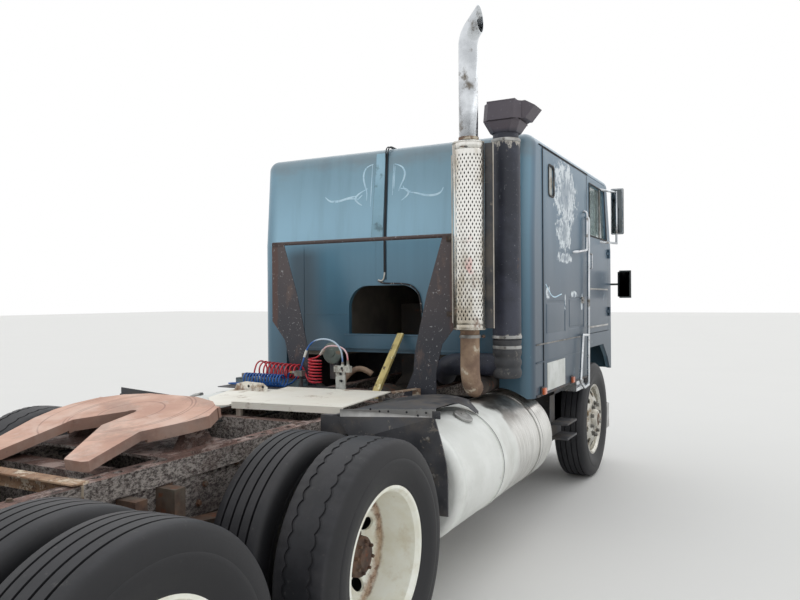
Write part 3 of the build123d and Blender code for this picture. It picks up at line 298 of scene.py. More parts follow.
def cab_paint(name="cab_paint", residue=0.0):
    """Teal paint: paler over the crease, partly sun-bleached and partly a painted sky reflection, deeper
    under it, partly kept paint and partly painted shade, chalky on the sides, with grime, chips and a painted
    stanchion shadow.
    """
    paint = settings("paint")
    look = Finish(name)
    across, along, height = (look.axis(axis) for axis in "XYZ")
    clouds = look.cloud(1.3, 5, 0.6, (1, 1, 0.5))
    drift = (clouds - 0.5) * 0.5
    # Over the crease: partly sun fade, partly a painted sky reflection. Under it: partly kept paint, partly
    # painted shade, darker towards the foot.
    bleached = look.over((height - CREASE) / (ROOF - CREASE) + drift, 0.5, 0.5)
    upper = look.tint(bleached, tuple(paint.faded), tuple(paint.weathered))
    lower = look.tint(look.over(height + drift, 1.72, 0.5), tuple(paint.low), tuple(paint.deep))
    look.colour = look.tint(look.over(height, CREASE, 0.008), lower, upper)
    outside = look.over(abs(across), 1.06, 0.05)
    corner = look.tint(look.over(height + drift, 2.0, 0.7), shade(70, 108, 128), shade(120, 158, 178))
    look.colour = look.tint(outside, look.colour, corner)
    flank = look.tint(look.over(height + drift, 2.1, 0.6), tuple(paint.flank_low), tuple(paint.flank))
    chalky = look.over(abs(across), CAB_HALF - 0.016, 0.014)
    look.colour = look.tint(chalky, look.colour, flank)
    at_rear = look.over(along, REAR_WALL - 0.12, 0.03)
    grime = look.over(height + (look.cloud(2.4, 6, 0.66, (1, 1, 2)) - 0.5) * 0.5, 2.72, 0.12)
    look.lay(grime * at_rear * 0.42, 128, 124, 120)
    # Painted shadow of the left stanchion on the low rear wall beside it.
    beside = abs(across - 0.775)
    low_wall = 1 - look.over(height + drift * 0.4, 2.05, 0.07)
    stanchion_shadow = (1 - look.over(beside, 0.16, 0.12)) * low_wall * at_rear
    look.lay(stanchion_shadow * 0.85, 22, 52, 68)
    look.flecks(0.12, (62, 88, 100), 0.57, 0.12, 9, 4, 0.6, (1, 1, 0.05))
    low_dirt = 1 - look.over(height + clouds * 0.7, 1.5, 0.4)
    look.lay(low_dirt * 0.4, 58, 72, 80)
    chips = look.spots(0.72, 0.012, 55, 6, 0.7)
    look.lay(chips * (0.35 + chalky * 0.5), 178, 196, 204)
    scrapes = look.spots(0.67, 0.02, 15, 8, 0.75, (1, 1, 0.35), 5.0) * chalky
    look.lay(scrapes * 0.6, 166, 180, 188)
    if residue:
        body, rim = worn_patch(look)
        look.lay(body * 0.6, 128, 142, 156)
        look.lay(rim * residue, 222, 230, 234)
    dents = look.cloud(1.7, 2, 0.4) * 5 + look.cloud(120, 3) * 0.25 - chips * 0.4
    rough = 0.3 + clouds * 0.16 + low_dirt * 0.2 + chalky * 0.14
    normal = look.relief(dents, 0.3, 0.006)
    return look.wear(rough, 0.0, normal, coat_weight=0.35, coat_roughness=0.22)


def worn_patch(look):
    """Where stickers once were on the sleeper's side: their body, and the bright flakes along its edge."""
    # centre along the cab, centre height, half length, half height, from the steer axle
    spots = [
        (1.07, 2.5, 0.34, 0.25), (1.12, 2.19, 0.22, 0.14), (1.09, 1.985, 0.22, 0.045),
        (1.58, 1.7, 0.055, 0.05),
        (0.8, 1.69, 0.1, 0.03), (1.1, 1.63, 0.03, 0.06), (0.52, 1.62, 0.05, 0.08),
    ]
    along, height = look.axis("Y"), look.axis("Z")
    ragged = (look.cloud(11, 9, 0.8, (1, 1, 0.8)) - 0.5) * 2.8
    nearest = 2.0
    for y, z, half_long, half_high in spots:
        off_y = (along - (y + STEER_Y)) / half_long
        off_z = (height - z) / half_high
        nearest = look.math("MINIMUM", nearest, look.math("SQRT", off_y * off_y + off_z * off_z))
    reach = nearest + ragged
    body = 1 - look.over(reach, 0.95, 0.03)
    rim = body * (0.25 + look.over(reach, 0.45, 0.2) * 0.75)
    flakes = look.spots(0.47, 0.02, 20, 8, 0.78, (1, 1, 0.7))
    return body, rim * flakes


def facing_up(look):
    """How far a face looks upwards, from -1 to 1, in the piece's own frame."""
    normal = look.node("ShaderNodeTexCoord", output="Normal")
    return look.node("ShaderNodeSeparateXYZ", (), {0: normal}, output="Z")


def stanchion_paint():
    """Chassis black gone charcoal: warmer towards the top, brown along the outer angles, finely specked."""
    look = Finish("stanchion_black")
    height, across = look.axis("Z"), abs(look.axis("X"))
    clouds = look.cloud(3.5, 6, 0.62)
    warm = look.over(height + clouds * 0.6, 1.95, 0.5)
    look.blend(warm, (48, 50, 58), (84, 74, 74))
    outer = look.over(across + (clouds - 0.5) * 0.05, 0.722, 0.01) * look.over(height, 1.2, 0.1)
    look.lay(outer * 0.8, 98, 76, 70)
    top_bar = look.over(height, STACK_TOP - 0.04, 0.004)
    look.lay(top_bar, 72, 58, 56)
    blotches = look.flecks(0.4, (120, 100, 90), 0.6, 0.05, 9, 7, 0.7, (1, 1, 0.5), 4.0)
    look.flecks(0.75, (178, 178, 178), 0.655, 0.012, 70, 4, 0.65, (1, 1, 0.8), 2.0)
    look.flecks(0.6, (164, 162, 160), 0.69, 0.02, 22, 8, 0.76, (1, 1, 0.4), 7.0)
    relief = look.relief(look.cloud(60, 5) - blotches, 0.35, 0.002)
    return look.wear(0.5 + outer * 0.3 + blotches * 0.15, 0.0, relief)


def tank_skin(name="tank_skin", banded=False):
    """Brushed aluminium, painted white behind the middle, the paint worn through in places."""
    look = Finish(name)
    along = look.axis("Y")
    clouds = look.cloud(3, 6, 0.62)
    edge = settings("paint").tank_edge + STEER_Y
    white = look.over(along + (clouds - 0.5) * 0.7, edge, 0.05)
    worn = look.spots(0.665, 0.03, 9, 8, 0.72, shift=2.0)
    white = white * (1 - worn)
    rings = look.cloud(5, 6, 0.7, (1, 26, 1))
    bare = look.tint(look.over(rings, 0.5, 0.12), shade(196, 195, 190), shade(232, 231, 227))
    scuffed = look.spots(0.52, 0.1, 2.0, 6, 0.66, (1, 0.7, 1), 7.0)
    on_top = look.over(look.axis("Z") + (clouds - 0.5) * 0.2, 0.86, 0.06)
    bare = look.tint(scuffed * on_top * 0.9, bare, shade(92, 87, 82))
    paint = look.tint(look.over(clouds, 0.52, 0.12), shade(234, 235, 230), shade(220, 221, 215))
    dirt = look.spots(0.6, 0.1, 1.6, 7, 0.7, (1, 1, 0.5), 4.0)
    look.colour = look.tint(white, bare, paint)
    look.lay(dirt * 0.25, 160, 150, 136)
    if banded:
        for line, half in ((2.752, 0.005), (1.953, 0.004), (2.007, 0.004)):
            off = abs(along - (line + STEER_Y))
            look.lay(1 - look.over(off, half, 0.002), 34, 34, 36)
    metal = (1 - white) * (1 - dirt * 0.5) * 0.85
    rough = 0.3 + white * 0.08 + dirt * 0.2
    height = rings * 0.3 + white * 0.3
    return look.wear(rough, metal, look.relief(height, 0.15, 0.0012))


def shield_metal():
    """Polished steel, bright at the edge and top, with a brown film that is partly a painted reflection of
    brown surroundings, and a few pink and rusty stains.
    """
    look = Finish("shield_metal")
    height = look.axis("Z")
    # The brown film is partly a painted reflection of brown surroundings.
    film = look.spots(0.52, 0.12, 5, 6, 0.65, (1, 1, 0.5))
    look.blend(film * 0.85, (236, 235, 230), (168, 157, 138))
    low = 1 - look.over(height + look.cloud(4, 5) * 0.5, 2.2, 0.5)
    stain = look.spots(0.62, 0.05, 11, 8, 0.7, (1, 1, 0.6), 2.2) * low
    look.lay(stain * 0.8, 140, 112, 96)
    pink = look.spots(0.66, 0.05, 7, 5, 0.6, (1, 1, 0.6), 9.0) * low
    look.lay(pink * 0.7, 206, 130, 128)
    rough = 0.16 + film * 0.14 + stain * 0.35
    return look.wear(rough, 0.92 - stain * 0.6, look.relief(look.cloud(70, 4), 0.12, 0.001))


def scratched_black():
    """The intake's black skin, torn pale under its top band and at its foot, scratched along its length."""
    look = Finish("scratched_black")
    height = look.axis("Z")
    clouds = look.cloud(4, 5, 0.6)
    look.blend(look.over(clouds, 0.5, 0.14), (40, 43, 54), (62, 65, 78))
    hood = look.over(height, 2.8, 0.02)
    look.lay(hood * 0.8, 98, 90, 96)
    ragged = (look.cloud(18, 8, 0.76, (1, 1, 0.5), 3.0) - 0.5) * 0.6
    under_band = look.over(height + ragged * 0.6, 2.71, 0.012) * (1 - look.over(height, 2.728, 0.002))
    at_foot = (1 - look.over(height - ragged * 0.3, 1.402, 0.01)) * look.over(height, 1.388, 0.002)
    torn = look.math("MAXIMUM", under_band, at_foot)
    look.lay(torn, 188, 182, 172)
    strokes = look.flecks(1, (178, 182, 186), 0.665, 0.012, 24, 9, 0.78, (1, 1, 0.16), 3.0)
    brown = look.flecks(0.7, (110, 92, 80), 0.69, 0.03, 9, 7, 0.7, (1, 1, 0.5), 6.0)
    look.flecks(0.6, (150, 152, 156), 0.69, 0.01, 90, 3, 0.6)
    rough = 0.42 + clouds * 0.2 + brown * 0.3
    return look.wear(rough, strokes * 0.4, look.relief(strokes + torn - brown, 0.25, 0.001))


def rail_steel():
    """Old frame paint: brown-grey scaly sides whose pale specks are partly painted highlights on the scales,
    pinkish rust under pale curling flakes on top.
    """
    look = Finish("rail_steel")
    up = look.over(facing_up(look), 0.6, 0.15)
    grit_glints = look.cloud(52, 9, 0.82, (1, 0.7, 1.3))
    # The pale tone of the sides is partly painted highlights on their scaly relief.
    side = look.tint(look.over(grit_glints, 0.5, 0.07), shade(76, 66, 62), shade(188, 178, 170))
    rusty = look.spots(0.56, 0.06, 2.4, 7, 0.68, shift=3.0)
    side = look.tint(rusty * 0.6, side, shade(88, 62, 54))
    pale = look.spots(0.62, 0.015, 46, 8, 0.8, shift=6.0)
    side = look.tint(pale * 0.8, side, shade(196, 188, 182))
    oily = 1 - look.over(look.axis("Z") + (grit_glints - 0.5) * 0.2, 0.86, 0.06)
    side = look.tint(oily * 0.45, side, shade(40, 35, 40))
    top = look.tint(look.spots(0.5, 0.1, 5, 7, 0.7), shade(150, 116, 104), shade(96, 72, 64))
    flakes = look.spots(0.52, 0.012, 11, 9, 0.8, (1, 0.45, 1), 5.0)
    top = look.tint(flakes * 0.85, top, shade(192, 168, 158))
    dark = look.spots(0.6, 0.015, 15, 8, 0.78, (1, 0.5, 1), 9.0)
    top = look.tint(dark * 0.8, top, shade(52, 42, 40))
    look.colour = look.tint(up, side, top)
    height = grit_glints * 2.2 + flakes * up * 1.5 - dark * up
    return look.wear(0.62 + grit_glints * 0.2, 0.0, look.relief(height, 0.9, 0.009))


def coupler_steel():
    """Smooth rust polished by trailers, with worn grooves round the jaw and oil near it."""
    look = Finish("coupler_rust")
    across, along = look.axis("X"), look.axis("Y") - JAW[1]
    far = look.math("SQRT", across * across + along * along)
    clouds = look.cloud(2.6, 6, 0.62)
    look.blend(look.over(clouds, 0.5, 0.16), (218, 176, 154), (192, 148, 128))
    look.flecks(0.6, (220, 192, 176), 0.54, 0.08, 4.5, 7, 0.66, shift=4.0)
    look.flecks(0.4, (150, 128, 116), 0.56, 0.06, 3.2, 7, 0.7, shift=11.0)
    grooves = 0.0
    for radius in (0.15, 0.275, 0.292, 0.395):
        grooves = grooves + (1 - look.over(abs(far - radius), 0.0035, 0.0025))
    grooves = grooves * look.over(facing_up(look), 0.9, 0.02) * look.spots(0.42, 0.06, 3, 4, 0.5)
    look.lay(grooves * 0.55, 134, 96, 86)
    look.flecks(0.35, (120, 84, 74), 0.66, 0.02, 30, 7, 0.7, shift=2.0)
    # Painted shade on the faces that turn sideways and downwards.
    under = 1 - look.over(facing_up(look), 0.3, 0.2)
    look.lay(under * 0.55, 92, 74, 68)
    return look.wear(0.5 + clouds * 0.2, 0.0, look.relief(clouds * 0.4 - grooves, 0.3, 0.002))


def beam_rust():
    """Rusty plate with what is left of its paint in flakes, and dark pits."""
    look = Finish("beam_rust")
    clouds = look.cloud(2.6, 7, 0.66)
    fine = look.cloud(26, 8, 0.72, shift=2.0)
    look.blend(look.over(clouds, 0.5, 0.14), (186, 156, 128), (146, 112, 86))
    pits = look.over(fine, 0.56, 0.05)
    look.lay(pits * 0.6, *DARK_RUST)
    left = look.flecks(1, (206, 190, 168), 0.55, 0.02, 7, 9, 0.74, shift=5.0)
    look.flecks(0.35, (158, 148, 136), 0.6, 0.04, 60, 5, 0.7, shift=8.0)
    height = fine * 1.2 + left * 0.8 - pits * 0.4
    return look.wear(0.72 + clouds * 0.2, 0.0, look.relief(height, 0.5, 0.003))


def axle_middle(axle):
    """Where a driven axle's line stands along the vehicle."""
    low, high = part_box(f"tyres_{axle}_right")
    return (low.y + high.y) / 2


def rim_paint(name, axle_y):
    """White wheel paint, rusty in a ring inside the barrel, at the lip and round the hub."""
    look = Finish(name)
    along, height = look.axis("Y") - axle_y, look.axis("Z") - TYRE_R
    across = abs(look.axis("X"))
    far = look.math("SQRT", along * along + height * height)
    clouds = look.cloud(5, 6, 0.65)
    look.blend(look.over(clouds, 0.5, 0.16), (254, 255, 246), (242, 240, 224))
    ragged = (look.cloud(14, 8, 0.76, shift=3.0) - 0.5) * 0.05
    ring = (1 - look.over(abs(across + ragged - 0.985), 0.01, 0.01))
    ring = ring * look.over(far, 0.2, 0.01)
    lip = look.over(far + ragged * 0.3, 0.326, 0.003)
    centre = 1 - look.over(far + ragged * 2, 0.145, 0.02)
    stain = look.math("MAXIMUM", look.math("MAXIMUM", ring * 0.8, lip * 0.8), centre * 0.85)
    look.lay(stain, 160, 116, 78)
    deep = look.spots(0.52, 0.04, 32, 7, 0.75, shift=8.0) * stain
    look.lay(deep * 0.8, 96, 62, 44)
    look.flecks(0.8, (140, 100, 68), 0.68, 0.015, 24, 8, 0.75, (1.6, 1, 0.6), 5.0)
    look.flecks(0.35, (206, 192, 160), 0.56, 0.08, 6, 6, 0.7, shift=9.0)
    return look.wear(0.4 + stain * 0.4, 0.0, look.relief(deep * -0.6 + clouds * 0.3, 0.25, 0.0015))


def tyre_rubber():
    """Dull black rubber, dusty in places, with painted shade darkening the walls that face sideways."""
    look = Finish("tyre_rubber")
    clouds = look.cloud(7, 6, 0.66)
    look.blend(look.over(clouds, 0.5, 0.13), (30, 31, 35), (42, 42, 46))
    look.flecks(0.2, (70, 67, 66), 0.56, 0.09, 3.2, 6, 0.7, shift=4.0)
    dusty = look.flecks(0.22, (112, 108, 104), 0.66, 0.05, 28, 6, 0.7, shift=8.0)
    # Painted shade: the faces that look sideways, the tyre's walls, are darkened.
    normal = look.node("ShaderNodeTexCoord", output="Normal")
    across = look.node("ShaderNodeSeparateXYZ", (), {0: normal}, output="X")
    wall = look.over(abs(across), 0.72, 0.22)
    look.lay(wall * 0.75, 15, 15, 19)
    cracks = look.cloud(140, 4, 0.7)
    return look.wear(0.5 + clouds * 0.15, 0.0, look.relief(cracks + clouds, 0.3, 0.0012))


def hose_plastic(name, strong, faded):
    """Nylon hose, bleached where it arches up from the manifold."""
    look = Finish(name)
    across, height = look.axis("X"), look.axis("Z")
    clouds = look.cloud(30, 4)
    bleached = look.over(height + clouds * 0.04, 1.27, 0.05) * (1 - look.over(across, 0.255, 0.03))
    look.colour = look.tint(look.over(clouds, 0.5, 0.15), strong, tuple(part * 0.72 for part in strong))
    look.colour = look.tint(bleached * 0.9, look.colour, faded)
    return look.wear(0.32 + clouds * 0.15, 0.0, look.relief(clouds, 0.1, 0.0005), coat_weight=0.2)


def window_glass():
    look = Finish("window_glass")
    film = look.cloud(6, 5, 0.6)
    tone = shade(198, 216, 214)
    look.colour = look.tint(look.over(film, 0.5, 0.15), tone, tuple(part * 0.8 for part in tone))
    return look.wear(0.05 + film * 0.12, 0.0, ior=1.5, transmission_weight=0.75)


def mirror_face():
    look = Finish("mirror_face")
    # The glass is tinted dark as a painted reflection of dark surroundings.
    film = look.cloud(8, 5)
    look.blend(film * 0.5, (96, 102, 104), (70, 76, 80))
    return look.wear(0.04 + film * 0.1, 1.0)


def lens(name, tone):
    """Moulded plastic lens with fine ribs."""
    look = Finish(name)
    ribs = look.node(
        "ShaderNodeTexWave", {"bands_direction": "X"}, {"Vector": look.place, "Scale": 60.0}
    )
    film = look.cloud(14, 5)
    look.colour = look.tint(look.over(film, 0.5, 0.15), tone, tuple(part * 0.6 for part in tone))
    return look.wear(0.16 + film * 0.2, 0.0, look.relief(ribs, 0.3, 0.002), coat_weight=0.5)


def woven(name, tones):
    """Coarse seat cloth."""
    look = Finish(name)
    warp = look.node("ShaderNodeTexWave", {"bands_direction": "X"}, {"Vector": look.place, "Scale": 70.0})
    weft = look.node("ShaderNodeTexWave", {"bands_direction": "Y"}, {"Vector": look.place, "Scale": 70.0})
    clouds = look.cloud(5, 5)
    look.colour = look.tint(look.over(clouds, 0.5, 0.15), *tones)
    normal = look.relief(warp + weft + clouds, 0.35, 0.002)
    return look.wear(0.88 + clouds * 0.1, 0.0, normal, sheen_weight=0.3)


def make_finishes():
    """Every finish of the vehicle."""
    worn = [((120, 110, 98), 6, 0.58, 0.08, 0.8, 0.0), (DARK_RUST, 12, 0.66, 0.04, 0.9, 0.0)]
    greasy = [((92, 84, 74), 4, 0.55, 0.1, 0.9, 0.0), (RUST, 9, 0.6, 0.05, 0.92, 0.0)]
    stained = [((150, 122, 98), 5, 0.63, 0.07, 0.8, 0.0), (RUST, 14, 0.71, 0.03, 0.9, 0.0)]
    dulled = [((120, 112, 102), 8, 0.6, 0.07, 0.6, 0.4)]
    bright = [*dulled, ((96, 70, 54), 18, 0.7, 0.03, 0.85, 0.0)]
    # what layered() takes: name, two tones, drift, roughness from and to, layers of wear
    plain = [
        ("strip_paint", (158, 196, 214), (140, 180, 198), 3, (0.35, 0.5),
         [((110, 140, 152), 7, 0.62, 0.06, 0.6, 0.0)]),
        ("strip_shadow", (34, 62, 80), (50, 82, 100), 5, (0.4, 0.5)),
        ("drip_black", (24, 26, 30), (36, 38, 42), 9, (0.5, 0.7),
         [((196, 198, 198), 34, 0.69, 0.015, 0.7, 0.0)]),
        ("harness_black", (30, 30, 33), (44, 43, 44), 12, (0.6, 0.8),
         [((196, 190, 182), 60, 0.62, 0.02, 0.7, 0.0)]),
        ("disc_green", (104, 116, 110), (84, 92, 88), 8, (0.5, 0.7),
         [((132, 112, 94), 12, 0.62, 0.05, 0.85, 0.0)]),
        ("ledge_blue", (108, 128, 136), (84, 100, 106), 8, (0.5, 0.7),
         [((70, 62, 58), 14, 0.58, 0.05, 0.85, 0.0)]),
        ("mirror_grey", (52, 58, 56), (68, 74, 72), 8, (0.4, 0.6),
         [((112, 112, 106), 14, 0.64, 0.05, 0.85, 0.0)]),
        ("elbow_rust", (164, 138, 114), (124, 100, 84), 8, (0.5, 0.8),
         [((206, 194, 174), 9, 0.6, 0.04, 0.6, 0.2), ((88, 62, 50), 15, 0.66, 0.04, 0.9, 0.0)]),
        ("strip_beige", (206, 200, 188), (176, 166, 152), 6, (0.4, 0.6),
         [((132, 106, 88), 14, 0.64, 0.04, 0.85, 0.0)]),
        ("guard_white", (226, 224, 216), (200, 196, 186), 20, (0.4, 0.6),
         [((120, 110, 98), 24, 0.66, 0.04, 0.8, 0.0)]),
        ("silencer", (62, 50, 44), (40, 36, 34), 6, (0.7, 0.9), greasy),
        ("hub_rust", (104, 76, 58), (70, 54, 46), 12, (0.7, 0.9), greasy),
        ("cast_grey", (84, 82, 80), (62, 60, 58), 5, (0.6, 0.85), greasy),
        ("arm_yellow", (216, 196, 128), (190, 170, 108), 9, (0.5, 0.7),
         [((238, 228, 180), 12, 0.58, 0.03, 0.6, 0.0), ((98, 88, 74), 16, 0.61, 0.03, 0.85, 0.0)]),
        ("manifold_white", (216, 216, 208), (190, 190, 180), 20, (0.45, 0.6), worn),
        ("rubber", (40, 40, 42), (62, 61, 60), 12, (0.6, 0.8), [((112, 106, 98), 10, 0.6, 0.07, 0.9, 0.0)]),
        ("trim_plastic", (58, 58, 60), (78, 76, 74), 8, (0.5, 0.7)),
        ("lining", (126, 118, 106), (100, 94, 86), 3, (0.8, 0.9)),
        ("plate_white", (214, 216, 212), (196, 198, 192), 7, (0.35, 0.5),
         [((160, 150, 134), 6, 0.62, 0.06, 0.8, 0.0)]),
        ("scroll_white", (204, 232, 246), (180, 214, 232), 22, (0.4, 0.6),
         [((140, 178, 196), 34, 0.6, 0.04, 0.5, 0.0)]),
    ]
    for row in plain:
        layered(*row)
    cab_paint()
    cab_paint("side_paint", residue=0.9)
    cab_paint("side_paint_plain")
    layered("black_paint", (44, 45, 50), (66, 66, 70), 3, (0.45, 0.7), [
        ((96, 88, 82), 5, 0.54, 0.1, 0.85, 0.0), (RUST, 7, 0.6, 0.05, 0.9, 0.0),
        ((168, 166, 164), 38, 0.64, 0.015, 0.7, 0.0),
    ], stretch=(1, 1, 0.5), grain=(60, 0.35, 0.002))
    layered(
        "chrome", (222, 226, 230), (190, 194, 198), 6, (0.12, 0.3), dulled, metal=1.0, grain=(40, 0.06, 0.001)
    )
    layered(
        "aluminium", (196, 196, 194), (160, 160, 158), 5, (0.3, 0.5), bright, metal=0.9,
        grain=(120, 0.2, 0.001)
    )
    layered("boot_rubber", (50, 52, 56), (72, 72, 74), 9, (0.5, 0.7),
            [((116, 112, 106), 12, 0.62, 0.05, 0.85, 0.0)], grain=(70, 0.2, 0.001))
    layered(
        "deck_white", (246, 241, 228), (234, 227, 212), 2.2, (0.45, 0.65), stained, grain=(50, 0.2, 0.002)
    )
    layered("rim_aluminium", (206, 204, 196), (176, 172, 162), 8, (0.25, 0.45),
            [((150, 132, 108), 10, 0.6, 0.06, 0.6, 0.4)], metal=0.85)
    layered("engine_grease", (46, 46, 46), (66, 60, 54), 4, (0.5, 0.85), greasy, grain=(30, 0.4, 0.003))
    layered("brass", (176, 146, 86), (140, 112, 66), 30, (0.3, 0.5), worn, metal=0.8)
    layered("steel_dull", (150, 148, 144), (112, 110, 106), 14, (0.4, 0.6), bright, metal=0.7)
    layered("flap_black", (54, 55, 59), (76, 76, 79), 5, (0.45, 0.7),
            [((118, 112, 104), 20, 0.62, 0.03, 0.9, 0.0), ((96, 90, 84), 4, 0.56, 0.1, 0.85, 0.0)],
            grain=(40, 0.35, 0.002))
    tank_skin("strap_skin", banded=True)
    for make in (
        stanchion_paint, rail_steel, coupler_steel, beam_rust, tank_skin, shield_metal, scratched_black,
        tyre_rubber,
        window_glass, mirror_face,
    ):
        make()
    for axle in DRIVEN:
        rim_paint("rim_" + axle, axle_middle(axle))
    hose_plastic("hose_red", shade(214, 52, 66), shade(232, 200, 202))
    hose_plastic("hose_blue", shade(28, 98, 178), shade(196, 214, 226))
    woven("seat_cloth", (shade(70, 82, 96), shade(52, 62, 74)))
    woven("mattress_cloth", (shade(150, 140, 122), shade(126, 116, 100)))
    lens("lens_red", shade(176, 22, 22))
    lens("lens_amber", shade(206, 96, 40))
    lens("lens_clear", shade(214, 218, 216))


# Modelling

def edit_all():
    """Opens the active piece's mesh with all of it selected."""
    bpy.ops.object.mode_set(mode="EDIT")
    bpy.ops.mesh.select_all(action="SELECT")


def leave_edit():
    bpy.ops.object.mode_set(mode="OBJECT")


def deselect():
    if bpy.context.object and bpy.context.object.mode != "OBJECT":
        leave_edit()
    for other in list(bpy.context.selected_objects):
        other.select_set(False)


def take(piece):
    """Makes one piece the active one."""
    deselect()
    piece.select_set(True)
    bpy.context.view_layer.objects.active = piece
    return piece


def pick(piece, test):
    """In edit mode, selects the faces whose middle passes the test."""
    bpy.ops.mesh.select_mode(type="FACE")
    bpy.ops.mesh.select_all(action="DESELECT")
    shape = bmesh.from_edit_mesh(piece.data)
    for face in shape.faces:
        if test(sum((corner.co for corner in face.verts), Vector()) / len(face.verts)):
            face.select_set(True)
    shape.select_flush_mode()
    bmesh.update_edit_mesh(piece.data)


def modify(piece, kind, **options):
    """Adds a modifier and applies it."""
    take(piece)
    modifier = piece.modifiers.new(kind.title(), kind)
    for key, value in options.items():
        setattr(modifier, key, value)
    bpy.ops.object.modifier_apply(modifier=modifier.name)
    return piece


def settle(piece, smooth=35, outward=True):
    """Leaves a piece with its place in its mesh, its faces outwards and its soft edges smooth."""
    take(piece)
    bpy.ops.object.transform_apply(location=True, rotation=True, scale=True)
    if outward:
        edit_all()
        bpy.ops.mesh.normals_make_consistent(inside=False)
        leave_edit()
    if smooth:
        bpy.ops.object.shade_smooth_by_angle(angle=math.radians(smooth))
    return piece


def painted(piece, finish):
    piece.data.materials.clear()
    piece.data.materials.append(FINISHES[finish])
    return piece


def block(name, low, high):
    deselect()
    low, high = Vector(low), Vector(high)
    bpy.ops.mesh.primitive_cube_add(size=1, location=(low + high) / 2)
    piece = bpy.context.object
    piece.name = name
    piece.scale = [abs(part) for part in high - low]
    bpy.ops.object.transform_apply(location=True, rotation=True, scale=True)
    return piece


def slab(name, low, high, finish, bevel=0.002, segments=2):
    """A block between two opposite corners, with eased edges."""
    piece = block(name, low, high)
    modify(piece, "BEVEL", width=bevel, segments=segments)
    return painted(settle(piece, 30, outward=False), finish)


TURNS = {"X": (0, math.pi / 2, 0), "Y": (math.pi / 2, 0, 0), "Z": (0, 0, 0)}
WAYS = {"X": Vector((1, 0, 0)), "Y": Vector((0, 1, 0)), "Z": Vector((0, 0, 1))}


def turned(name, rings, centre, axis, finish, sides=64, closed=False, smooth=35):
    """A form turned about an axis: rings are (place along it, radius). closed joins last to first."""
    deselect()
    centre, way = Vector(centre), WAYS[axis]
    here, radius = rings[0]
    bpy.ops.mesh.primitive_circle_add(
        vertices=sides, radius=radius, location=centre + way * here, rotation=TURNS[axis]
    )
    piece = bpy.context.object
    piece.name = name
    bpy.ops.object.transform_apply(location=True, rotation=True, scale=True)
    edit_all()
    for (before, wide), (here, radius) in zip(rings, rings[1:]):
        bpy.ops.mesh.extrude_region_move(TRANSFORM_OT_translate={"value": way * (here - before)})
        ratio = radius / wide
        if abs(ratio - 1) > 1e-6:
            bpy.ops.transform.resize(value=(ratio, ratio, ratio), center_override=centre + way * here)
    bpy.ops.mesh.select_mode(type="EDGE")
    bpy.ops.mesh.select_all(action="DESELECT")
    bpy.ops.mesh.select_non_manifold(extend=False)
    if closed:
        bpy.ops.mesh.bridge_edge_loops()
    else:
        bpy.ops.mesh.select_all(action="SELECT")
        bpy.ops.mesh.fill_holes(sides=0)
    leave_edit()
    return painted(settle(piece, smooth), finish)


def drawn(name, points, radius, steps, bevel, order=3, cyclic=False):
    """A round line through points, as a live curve; steps lie between two points and bevel rounds it."""
    deselect()
    curve = bpy.data.curves.new(name, "CURVE")
    curve.dimensions = "3D"
    spline = curve.splines.new("NURBS")
    spline.points.add(len(points) - 1)
    for point, place in zip(spline.points, points):
        point.co = (*place, 1)
    spline.order_u = order
    spline.use_endpoint_u = not cyclic
    spline.use_cyclic_u = cyclic
    spline.resolution_u = steps
    curve.bevel_depth = radius
    curve.bevel_resolution = bevel
    curve.use_fill_caps = not cyclic
    piece = bpy.data.objects.new(name, curve)
    bpy.context.scene.collection.objects.link(piece)
    return piece


def strand(name, points, radius, finish, order=3, steps=8, sides=6, cyclic=False):
    """A round line through a route, made a mesh: a pipe, rod, bead or wire."""
    take(drawn(name, points, radius, steps, sides // 2, order, cyclic))
    bpy.ops.object.convert(target="MESH")
    return painted(settle(bpy.context.object, 50), finish)


def bent(name, corners, radius, bend, finish, sides=8):
    """A tube along straight runs with rounded corners, drawn as control points close to each corner."""
    route = [Vector(corners[0])]
    for before, corner, after in zip(corners, corners[1:], corners[2:]):
        before, corner, after = Vector(before), Vector(corner), Vector(after)
        ends = [corner + (other - corner).normalized() * bend for other in (before, after)]
        route += [ends[0], corner, ends[1]]
    route.append(Vector(corners[-1]))
    return strand(name, route, radius, finish, sides=sides)


def copied(piece, name, matrix):
    """A copy with its own mesh, moved by the matrix."""
    twin = piece.copy()
    twin.data = piece.data.copy()
    twin.name = name
    twin.data.transform(matrix)
    if matrix.determinant() < 0:
        twin.data.flip_normals()
    bpy.context.scene.collection.objects.link(twin)
    return twin


def joined(name, pieces):
    """Several pieces as one object."""
    deselect()
    for piece in pieces:
        piece.select_set(True)
    bpy.context.view_layer.objects.active = pieces[0]
    if len(pieces) > 1:
        bpy.ops.object.join()
    pieces[0].name = name
    return pieces[0]


def repeated(name, piece, matrices):
    """One object made of a piece's copies, the first piece taken away."""
    copies = [copied(piece, name, matrix) for matrix in matrices]
    bpy.data.objects.remove(piece)
    return joined(name, copies)


def hung(piece, body, slot, *nodes):
    """Fixes a finished piece to its body and hides the nodes that it stands for; its material slot is not
    used.
    """
    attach(piece, body)
    if nodes:
        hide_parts(*nodes)
    return piece


def coat(node, finish):
    """Gives a node that keeps its own shape a finish."""
    for slot in FRAME["nodes"][node].material_slots:
        slot.material = FINISHES[finish]


